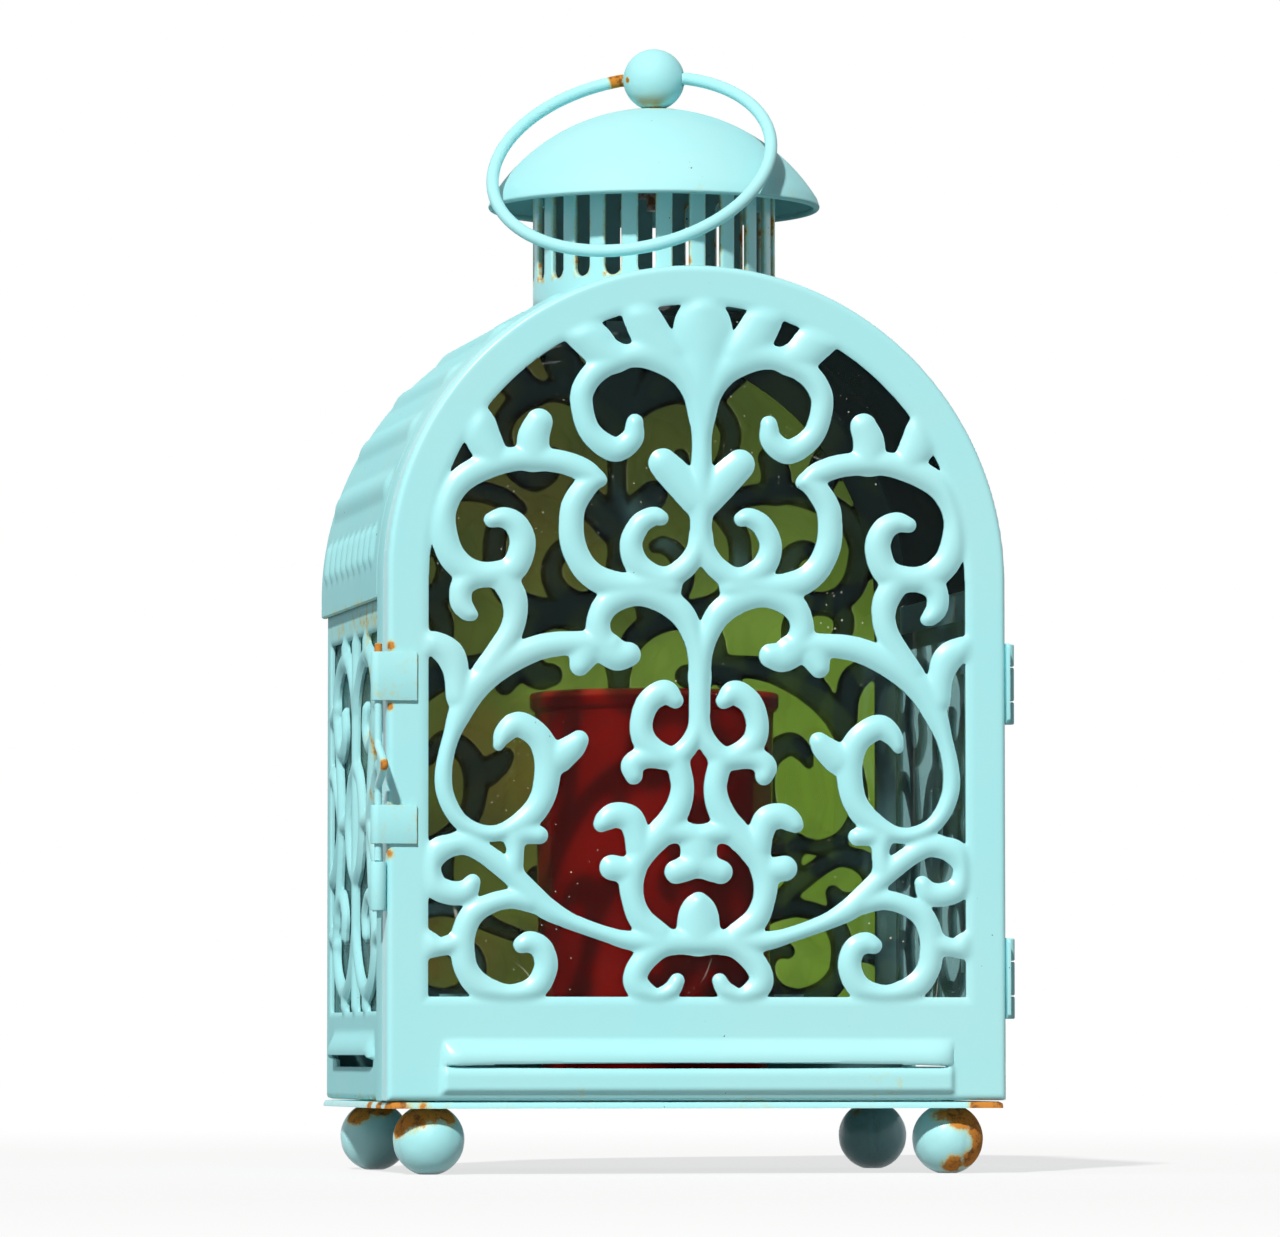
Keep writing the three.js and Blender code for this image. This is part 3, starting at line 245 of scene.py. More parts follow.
def weathered_enamel():
    """The paint's node group: fading, yellow stain, rust where the wear says so, dark specks, and painted
    shade with soot where that mark says so.
    """
    group = bpy.data.node_groups.new("weathered_enamel", "ShaderNodeTree")
    for name, way, kind in (
        ("Place", "INPUT", "NodeSocketVector"),
        ("Wear", "INPUT", "NodeSocketFloat"),
        ("Specks", "INPUT", "NodeSocketFloat"),
        ("Shade_and_soot", "INPUT", "NodeSocketFloat"),
        ("Colour", "OUTPUT", "NodeSocketColor"),
        ("Roughness", "OUTPUT", "NodeSocketFloat"),
        ("Height", "OUTPUT", "NodeSocketFloat"),
    ):
        group.interface.new_socket(name=name, in_out=way, socket_type=kind)
    given = add_node(group, "NodeGroupInput", {}).outputs
    place = given["Place"]

    # how far rust has eaten in, and the yellow stain round it
    broad = noise_of(place, 14, 4)
    blotch = noise_of(place, 110, 6, 0.62, 0.6)
    ragged = noise_of(place, 460, 7, 0.68)
    fine = noise_of(place, 1700, 3)
    uneven = combined("ADD", combined("MULTIPLY", blotch, 0.55), combined("MULTIPLY", ragged, 0.45))
    eaten = combined("ADD", uneven, combined("MULTIPLY", given["Wear"], 0.75))
    rusty = ramp_of(eaten, 0.80, 0.90)
    stained = ramp_of(eaten, 0.64, 0.88, 0, 0.8)

    # small dark specks that stand in clusters
    clustered = combined("MULTIPLY", noise_of(place, 50, 2), 0.2)
    spotted = combined("ADD", noise_of(place, 760, 2), clustered)
    spotted = combined("ADD", spotted, combined("MULTIPLY", given["Specks"], 0.1))
    specks = ramp_of(spotted, 0.90, 0.94)

    rust = mix_of(ramp_of(ragged, 0.36, 0.54), rust_brown, rust_orange)
    rust = mix_of(ramp_of(eaten, 1.15, 1.50), rust, rust_brown)
    colour = mix_of(ramp_of(broad, 0.35, 0.7), enamel_fresh, enamel_faded)
    colour = mix_of(stained, colour, enamel_stained)
    colour = mix_of(rusty, colour, rust)
    colour = mix_of(specks, colour, rust_black)
    # painted shade, with some soot, turns the inside faces a dark shaded teal
    colour = mix_of(given["Shade_and_soot"], colour, candle_soot)

    gloss = ramp_of(blotch, 0.3, 0.75, 0.28, 0.42)
    dull = combined("MULTIPLY", combined("MAXIMUM", rusty, given["Shade_and_soot"]), 0.5)

    # the paint sags a little, and rust stands on it as a crust
    sag = combined("MULTIPLY", noise_of(place, 230, 2), 0.3)
    crust = combined("MULTIPLY", rusty, combined("ADD", ragged, fine))
    crust = combined("MULTIPLY", crust, 0.7)

    add_node(group, "NodeGroupOutput", {
        "Colour": colour, "Roughness": combined("ADD", gloss, dull), "Height": combined("ADD", sag, crust),
    })
    return group


enamel_group = weathered_enamel()


def enamel(name, specks=0.3, relief=0.25, chalk=0.0):
    """Painted steel. Each point's wear says where it rusts, and its soot mark where painted shade and soot
    darken it.
    """
    finish, shader = new_finish(name)
    coat = add_node(finish.node_tree, "ShaderNodeGroup", {
        "Place": place_in(finish), "Wear": mark_in(finish, "wear"),
        "Specks": specks, "Shade_and_soot": mark_in(finish, "soot"),
    }, node_tree=enamel_group).outputs
    bump = add_node(finish.node_tree, "ShaderNodeBump", {
        "Strength": relief, "Distance": relief_height * MM, "Height": coat["Height"],
    })
    give(shader, {
        "Base Color": coat["Colour"],
        "Roughness": combined("ADD", coat["Roughness"], chalk),
        "Specular IOR Level": 0.42 - chalk,
        "Normal": bump.outputs["Normal"],
    })
    return finish


def arc(radius, centre_z, low_angle, high_angle, steps, centre_r=0.0):
    """(radius, height) pairs along an arc, the angles in degrees up from level."""
    return [
        (centre_r + radius * math.cos(math.radians(a)), centre_z + radius * math.sin(math.radians(a)))
        for a in np.linspace(low_angle, high_angle, steps + 1)
    ]


def turned(profile, around=72, closed=False):
    """Points and faces of a form spun about an upright axis from (radius, height) pairs."""
    points, rows, faces = [], [], []
    for r, z in profile:
        if r < 1e-6:
            rows.append([len(points)] * around)
            points.append((0.0, 0.0, z))
            continue
        rows.append(list(range(len(points), len(points) + around)))
        for k in range(around):
            a = 2 * math.pi * k / around
            points.append((r * math.cos(a), r * math.sin(a), z))
    for lower, upper in zip(rows, rows[1:] + (rows[:1] if closed else [])):
        for k in range(around):
            n = (k + 1) % around
            ring = [lower[k], lower[n], upper[n], upper[k]]
            faces.append([p for i, p in enumerate(ring) if p != ring[i - 1]])
    return np.array(points), faces


def worn_spots(points, spots):
    """Wear from 0 to 1 at each point, from given (x, y, z, reach, amount) spots."""
    wear = np.zeros(len(points))
    for x, y, z, reach, amount in spots:
        away = np.linalg.norm(points - np.array([x, y, z]), axis=1)
        wear = np.maximum(wear, amount * np.clip(1.35 * (1 - away / reach), 0, 1))
    return wear


def make_piece(name, points, faces, finish, body, stands_for=(), wear=None, crease=40,
               slot="turquoise_paint", **marks):
    """One piece from points in the drawing's millimetres, riding on its body in its node's place.
    Wear and marks such as the painted shade with soot give a value from 0 to 1 at each point."""
    mesh = bpy.data.meshes.new(name)
    placed = (np.asarray(points, float) + set_off) * MM
    mesh.from_pydata(placed.tolist(), [], faces)
    if wear is not None:
        marks["wear"] = wear
    for mark, values in marks.items():
        layer = mesh.attributes.new(mark, "FLOAT", "POINT")
        layer.data.foreach_set("value", np.asarray(values, np.float32))
    form = bmesh.new()
    form.from_mesh(mesh)
    bmesh.ops.recalc_face_normals(form, faces=form.faces)
    form.to_mesh(mesh)
    form.free()
    mesh.polygons.foreach_set("use_smooth", [True] * len(mesh.polygons))
    mesh.set_sharp_from_angle(angle=math.radians(crease))
    mesh.materials.append(finish)
    mesh.update()
    piece = bpy.data.objects.new(name, mesh)
    bpy.context.collection.objects.link(piece)
    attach(piece, body)
    if stands_for:
        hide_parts(*stands_for)
    return piece


low_arc = math.degrees(math.asin(-foot_centre / foot_radius))
high_arc = math.degrees(math.asin((foot_top - foot_centre) / foot_radius))
foot_profile = (
    [(0, 0)]
    + arc(foot_radius, foot_centre, low_arc, high_arc, 34)
    + [(foot_bore, foot_top), (foot_bore, foot_bore_floor), (0, foot_bore_floor)]
)
foot_finish = enamel("foot_enamel", specks=0.5, relief=0.4)
for place, sx, sy, seam, spots in (
    ("front_left", -1, -1, 20, [
        (-6, -7, 17, 9, 1), (0, -8, 18.5, 8, 1), (5, -7, 18, 8, 1), (-9, -3, 14, 7, 0.95), (8, 0, 9, 4, 0.35),
    ]),
    ("front_right", 1, -1, 110, [
        (-4, -8, 19, 8, 1), (3, -8, 17.5, 9, 1), (8, -5, 12.5, 8.5, 1), (9, -4, 7, 8, 1),
        (7, -7, 2.5, 7, 1), (0, -7, 0.5, 6, 0.8),
    ]),
    ("rear_left", -1, 1, 30, [(-6, -5, 16.5, 7, 0.95), (0, -5, 18, 7, 0.9), (6, 0, 15, 6, 0.5)]),
    ("rear_right", 1, 1, 80, [(0, -7, 11, 2.2, 0.8), (-6, -4, 16, 4, 0.5)]),
):
    points, faces = turned(foot_profile, around=80)
    across = points @ np.array([-math.sin(math.radians(seam)), math.cos(math.radians(seam)), 0])
    outside = np.linalg.norm(points - np.array([0, 0, foot_centre]), axis=1) > foot_radius - 0.05
    groove = np.where(outside, seam_depth * np.exp(-((across / seam_width) ** 2)), 0)
    dents = np.array([noise.noise(Vector(p) * foot_dent_scale) for p in points])
    dents = np.where(outside, foot_dent * np.maximum(dents, 0), 0)
    level = points * np.array([1, 1, 0])
    length = np.maximum(np.linalg.norm(level, axis=1), 1e-6)[:, None]
    points = points - level / length * (groove + dents)[:, None]
    wear = worn_spots(points, spots)
    points = points + np.array([sx * foot_x, sy * foot_y, 0])
    make_piece(f"ball_foot_{place}", points, faces, foot_finish, "lantern_body", [f"foot_{place}"], wear)


# The base tray: a flat steel pan whose rim turns down round its edge, open to the rain, with the
# zinc-plated heads of the four foot screws on it.
tray_half = 78.85
tray_low_y = -56.5
tray_high_y = 56.5
tray_bottom = 17.0
tray_top = 18.2
tray_corner = 2.0
tray_ease = 1.0
rim_width = 2.2
rim_slope = 0.9
rim_drop = 0.45
screw_hole = 1.9
zinc_plate = (0.30, 0.31, 0.30, 1)
zinc_rusty = (0.21, 0.10, 0.04, 1)


def plated_screws():
    """Zinc plating with rust coming through."""
    finish, shader = new_finish("plated_screws")
    bloom = noise_of(place_in(finish), 500, 5)
    give(shader, {
        "Base Color": mix_of(ramp_of(bloom, 0.42, 0.66), zinc_plate, zinc_rusty),
        "Roughness": ramp_of(bloom, 0.4, 0.7, 0.35, 0.8),
        "Metallic": 0.75,
    })
    return finish


def dress(node, finish, crease=35):
    """A CAD node that keeps its shape gets its finish, with round faces shaded round."""
    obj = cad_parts[node]
    obj.data.materials.clear()
    obj.data.materials.append(finish)
    obj.data.polygons.foreach_set("use_smooth", [True] * len(obj.data.polygons))
    obj.data.set_sharp_from_angle(angle=math.radians(crease))
    obj.data.update()
    return obj


plated_steel = plated_screws()
for place in ("front_left", "front_right", "rear_left", "rear_right"):
    dress(f"foot_screw_{place}", plated_steel)


def cut_cells(metal, step):
    """Cuts a grid of cells where metal is zero: what makes up each point, the faces and the rim."""
    rows, cols = metal.shape
    flat = metal.ravel().copy()
    near = np.abs(flat) < 0.12 * step
    flat[near] = np.where(flat[near] < 0, -0.12 * step, 0.12 * step)
    inside = flat > 0
    number = np.cumsum(inside) - 1
    own = np.flatnonzero(inside)
    first, second, share = own.tolist(), own.tolist(), [0.0] * len(own)
    k = (np.arange(rows - 1)[:, None] * cols + np.arange(cols - 1)).ravel()
    corners = np.stack([k, k + 1, k + 1 + cols, k + cols], 1)
    count = inside[corners].sum(1)
    faces = number[corners[count == 4]].tolist()
    cuts, rim = {}, []
    for ring in corners[(count > 0) & (count < 4)].tolist():
        face, gates = [], []
        for a, b in zip(ring, ring[1:] + ring[:1]):
            if inside[a]:
                face.append(int(number[a]))
            if inside[a] != inside[b]:
                key = (a, b) if a < b else (b, a)
                if key not in cuts:
                    cuts[key] = len(first)
                    first.append(key[0])
                    second.append(key[1])
                    share.append(flat[key[0]] / (flat[key[0]] - flat[key[1]]))
                face.append(cuts[key])
                gates.append((inside[a], cuts[key]))
        faces.append(face)
        rim += [(p, gates[(n + 1) % len(gates)][1]) for n, (leaves, p) in enumerate(gates) if leaves]
    return np.array(first), np.array(second), np.array(share), faces, rim


def press_sheet(us, vs, layers, step, front, back, shape):
    """A pressed and pierced sheet as one closed skin. layers[0] is how deep each grid point lies in
    the metal; front and back give the heights of its two faces, and shape bends it into place."""
    first, second, share, faces, rim = cut_cells(layers[0], step)
    u, v = (grid.ravel() for grid in np.meshgrid(us, vs))
    u = u[first] * (1 - share) + u[second] * share
    v = v[first] * (1 - share) + v[second] * share
    depth = [layer.ravel()[first] * (1 - share) + layer.ravel()[second] * share for layer in layers]
    depth[0] = np.where(share > 0, 0, np.maximum(depth[0], 0))
    outer = np.stack(shape(u, v, front(u, v, *depth)), 1)
    inner = np.stack(shape(u, v, back(u, v, *depth)), 1)
    n = len(outer)
    skin = faces + [[p + n for p in reversed(face)] for face in faces]
    skin += [[q, p, p + n, q + n] for p, q in rim]
    return np.concatenate([outer, inner]), skin


def eased_edge(depth, radius):
    """How far a face drops towards a cut or folded edge of that radius."""
    near = np.clip(depth / radius, 0, 1)
    return -radius * (1 - np.sqrt(np.clip(1 - (1 - near) ** 2, 0, 1)))


def grid_of(low, high, step):
    return np.arange(low - 1.5 * step, high + 2 * step, step)


def box_depth(u, v, u0, u1, v0, v1, corner=0.0):
    """How far inside a rectangle with rounded corners each point lies."""
    du = np.abs(u - (u0 + u1) / 2) - ((u1 - u0) / 2 - corner)
    dv = np.abs(v - (v0 + v1) / 2) - ((v1 - v0) / 2 - corner)
    outside = np.hypot(np.maximum(du, 0), np.maximum(dv, 0))
    return corner - outside - np.minimum(np.maximum(du, dv), 0)


def close_to(distance, reach):
    """1 at no distance, falling to 0 at the reach."""
    return np.clip(1 - distance / reach, 0, 1)


def strongest(*marks):
    """The strongest of several marks, such as worn edges and spots, at each point."""
    return np.max(np.broadcast_arrays(*marks), axis=0)


step = 1.0
us = grid_of(-tray_half, tray_half, step)
vs = grid_of(tray_low_y, tray_high_y, step)
grid_u, grid_v = np.meshgrid(us, vs)
edge = box_depth(grid_u, grid_v, -tray_half, tray_half, tray_low_y, tray_high_y, tray_corner)
plate = edge
for sx in (-1, 1):
    for sy in (-1, 1):
        plate = np.minimum(plate, np.hypot(grid_u - sx * foot_x, grid_v - sy * foot_y) - screw_hole)
points, faces = press_sheet(
    us, vs, [plate, edge], step,
    lambda u, v, metal, edge: tray_top + eased_edge(edge, tray_ease),
    lambda u, v, metal, edge: tray_bottom - rim_drop * np.clip((rim_width - edge) / rim_slope, 0, 1),
    lambda u, v, h: (u, v, h),
)
wear = strongest(
    0.16 * close_to(tray_half - np.abs(points[:, 0]), 3),
    0.16 * close_to(points[:, 1] - tray_low_y, 3),
    worn_spots(points, [
        (-79, -56, 17, 9, 0.9), (-79, -40, 17, 9, 0.7), (-79, -24, 17, 7, 0.7), (-70, -56, 16.5, 4, 0.5),
        (72, -56, 17, 4, 0.8), (77, -56, 17, 6, 0.85),
    ]),
)
tray_finish = enamel("tray_enamel", specks=0.6)
make_piece("rimmed_tray", points, faces, tray_finish, "lantern_body", ["base_tray"], wear)


# The side walls: steel sheets pierced and pressed with scrolls, their front and rear edges turned
# in, with a small hooded louvre at the foot that lets air in to the candle.
sill = 18.5
arch = 131.35
sheet = 1.2
wall_outer = 77.75
wall_middle = 8.8
wall_half = 48.2
wall_height = 131.0
wall_front = wall_middle - wall_half
side_window = (-42.0, 42.0, 22.5, 119.0)
side_flange = 5.0
side_flange_top = 126.0
flange_width = 1.7
flange_slope = 0.5
side_louvre_half = 35.0
side_louvre = (10.6, 17.6)
side_louvre_rise = 2.3
side_slit_half = 32.0
side_slit = (8.4, 11.4)
side_slit_corner = 0.8

# Rust that runs down from the eave: [along the wall, how far down it reaches, how strong it is].
rust_runs = [[-30, 96, 0.46], [-22, 60, 0.40], [-12, 84, 0.40], [4, 100, 0.34]]

# Strokes of the scroll work: [across, up, half width], for one half of the sheet.
side_scrolls = [
    [[0, 20, 3.2], [0, 30, 2.2], [0, 44, 2.6], [0, 56, 2.3], [0, 71, 2.8], [0, 86, 2.3], [0, 100, 2.6],
     [0, 112, 2.4], [0, 121, 3.4]],
    [[0, 44, 2.4], [-4, 36, 2.4], [-11, 29.5, 2.5], [-20, 27.5, 2.6], [-29, 31.5, 2.7], [-33, 40, 2.7],
     [-30, 49, 2.6], [-22.5, 52, 2.4], [-17, 47.5, 2.2], [-18, 42, 1.8]],
    [[0, 99, 2.4], [-4, 106, 2.4], [-11, 112, 2.5], [-20, 114, 2.6], [-29, 110, 2.7], [-33, 102, 2.7],
     [-30, 93, 2.6], [-22.5, 90, 2.4], [-17, 94.5, 2.2], [-18, 100, 1.8]],
    [[0, 56, 2.3], [-8, 61, 2.4], [-12, 71, 2.5], [-8, 81, 2.4], [0, 86, 2.3]],
    [[-31, 46, 2.3], [-27, 57, 2.4], [-24, 71, 2.5], [-27, 85, 2.4], [-31, 97, 2.3]],
    [[-12, 71, 2.4], [-24, 71, 2.4]],
    [[-32, 40, 2.6], [-38, 42, 2.4], [-44, 42, 3]],
    [[-32, 102, 2.6], [-38, 100, 2.4], [-44, 100, 3]],
    [[-24, 71, 2.4], [-31, 63, 2.3], [-37, 58, 2.4], [-44, 58, 3]],
    [[-24, 71, 2.4], [-31, 79, 2.3], [-37, 84, 2.4], [-44, 84, 3]],
    [[-18, 28, 2.4], [-18, 20, 3]],
    [[-18, 113, 2.4], [-18, 121, 3]],
]


def drawn_line(points, spacing=0.35, spread=1.0):
    """Points along the smooth line through a stroke's points, a little apart."""
    p = np.array(points, float)
    p[:, 0] *= spread
    p = np.vstack([2 * p[0] - p[1], p, 2 * p[-1] - p[-2]])
    line = []
    for a, b, c, d in zip(p[:-3], p[1:-2], p[2:-1], p[3:]):
        steps = max(2, math.ceil(math.dist(b, c) / spacing))
        t = (np.arange(steps) / steps)[:, None]
        bend = 2 * a - 5 * b + 4 * c - d
        twist = 3 * b - a - 3 * c + d
        line.append(0.5 * (2 * b + (c - a) * t + bend * t**2 + twist * t**3))
    return np.vstack(line + [p[-2:-1]])


def smooth_max(a, b, blend):
    """The larger of two depths, with a fillet where they meet."""
    near = np.clip(blend - np.abs(a - b), 0, None) / blend
    return np.maximum(a, b) + near * near * blend / 4


def scroll_depth(strokes, us, vs, fillet, spread=1.0, lean=0.0, lean_from=0.0):
    """How deep each grid point lies in the scroll work and how high on a stroke's round back, from 0
    to 1. The strokes are measured on the left half, and the middle of the whole leans."""
    far_off = -6.0
    margin = 3.0
    depth = np.full((len(vs), len(us)), far_off)
    back = np.zeros_like(depth)
    for stroke in strokes:
        line = drawn_line(stroke, spread=spread)
        above = line[:, 1] - lean_from
        middle = lean * np.where(above > 0, above, 0.3 * above)
        apart = line[:, 0] - middle * np.clip(np.abs(line[:, 0]) / 8, 0, 1)
        for mirror in (1, -1):
            own = np.full_like(depth, far_off)
            for x, y, r in np.stack([mirror * apart + middle, line[:, 1], line[:, 2]], 1):
                i0, i1 = np.searchsorted(us, (x - r - margin, x + r + margin))
                j0, j1 = np.searchsorted(vs, (y - r - margin, y + r + margin))
                if i0 == i1 or j0 == j1:
                    continue
                away = np.hypot(us[i0:i1][None, :] - x, vs[j0:j1][:, None] - y)
                own[j0:j1, i0:i1] = np.maximum(own[j0:j1, i0:i1], r - away)
                back[j0:j1, i0:i1] = np.maximum(back[j0:j1, i0:i1], 1 - (away / r) ** 2)
            depth = smooth_max(depth, own, fillet)
    return depth, back


def softened(grid, times):
    """A grid of heights, each smoothed with its neighbours so many times over."""
    for _ in range(times):
        padded = np.pad(grid, 1, mode="edge")
        grid = (padded[:-2, 1:-1] + padded[2:, 1:-1] + padded[1:-1, :-2] + padded[1:-1, 2:] + 4 * grid) / 8
    return grid


def blend_in(value, low, high):
    """0 up to low and 1 from high on, with an eased step between them."""
    t = np.clip((value - low) / (high - low), 0, 1)
    return t * t * (3 - 2 * t)


def pressed(metal, border, soft, edge, rise, sink, cut, fold, runs_out):
    """The height of a pressed sheet's face: strokes that rise from sink at their edges to rise on
    their round backs and run out over the border into flat metal. Cut and fold are the radii that
    ease pierced and folded edges."""
    stroke = sink + (rise - sink) * np.clip(soft, 0, 1) ** 0.75
    flat = eased_edge(metal, cut)
    return stroke + (flat - stroke) * blend_in(border, *runs_out) + eased_edge(edge, fold)


def hood(u, v, half_length, low, high, rise, end=5.5, curl=112, power=1.25):
    """The height of a louvre's hood, which swells down from a crease to its open lower lip."""
    ends = np.clip((half_length - np.abs(u)) / end, 0, 1)
    down = np.clip((high - v) / (high - low), 0, 1) * (v > low)
    return rise * np.sqrt(1 - (1 - ends) ** 2) * np.sin(down * math.radians(curl)) ** power


def turned_edge(depth):
    """1 in the strip along a sheet's edge that is turned back, and 0 further in."""
    return np.clip((flange_width - depth) / flange_slope, 0, 1)


def inner_side(points):
    """1 on the inner face of a pressed sheet and 0 on its outer face."""
    return np.arange(len(points)) * 2 >= len(points)


wall_finish = enamel("wall_enamel", specks=0.45, relief=0.3, chalk=0.36)
step = 0.7
us = grid_of(-wall_half, wall_half, step)
vs = grid_of(0, wall_height, step)
grid_u, grid_v = np.meshgrid(us, vs)
edge = box_depth(grid_u, grid_v, -wall_half, wall_half, 0, wall_height)
border = -box_depth(grid_u, grid_v, *side_window)
slit = box_depth(grid_u, grid_v, -side_slit_half, side_slit_half, *side_slit, side_slit_corner)
scrolls, back = scroll_depth(side_scrolls, us, vs, fillet=1.6)
soft = softened(back, 1)
metal = smooth_max(scrolls, border, blend=1.4)
metal = np.minimum(np.minimum(metal, edge), -slit)


def side_hood(u, v):
    return hood(u, v, side_louvre_half, *side_louvre, side_louvre_rise)


def side_front(u, v, *depths):
    face = pressed(*depths, rise=0.7, sink=-0.7, cut=0.25, fold=1.3, runs_out=(-1.6, 1.2))
    return face + side_hood(u, v)


def side_back(u, v, *depths):
    turned_in = turned_edge(wall_half - np.abs(u)) * (v < side_flange_top)
    return side_hood(u, v) - sheet - (side_flange - sheet) * turned_in


for name, side in (("left", -1), ("right", 1)):
    points, faces = press_sheet(
        us, vs, [metal, border, soft, edge], step, side_front, side_back,
        lambda u, v, h: (side * (wall_outer + h), wall_middle + side * u, sill + v),
    )
    x, y, z = points.T
    wear = strongest(
        0.28 * close_to(z - sill, 4),
        0.34 * close_to(np.abs(z - sill - 122), 6),
        0.26 * close_to(y - wall_front, 2.5),
        worn_spots(points, [(side * 78, -34, 19, 3.5, 0.9), (side * 78, -34, 22, 2, 0.8)]),
        *(amount * np.clip((z - low) / 30, 0, 1) * np.exp(-(((y - along) / 1.4) ** 2))
          for along, low, amount in rust_runs),
    )
    # The inner faces get a little painted shade, with soot.
    make_piece(f"side_wall_{name}", points, faces, wall_finish, "lantern_body", [f"side_panel_{name}"],
               wear, soot=inner_side(points) * 0.2)


# The rear wall: an arched steel sheet with the same scroll work as the door, pressed from inside
# so that its rounded face looks out to the back.
door_half = 79.35
window_half = 68.9
window_foot = 26.0
window_radius = 68.8
window_crown = 0.6
crown_from = (190, 202)
fan_from = (178, 188)
fan_sides = (-26, -18)
fan_softening = 6
drawn_window_half = 67.5
pattern_lean = 0.0092
lean_from = 75.0
rear_radius = 77.85
rear_half = 76.25
rear_y = 52.7
rear_step = 0.9

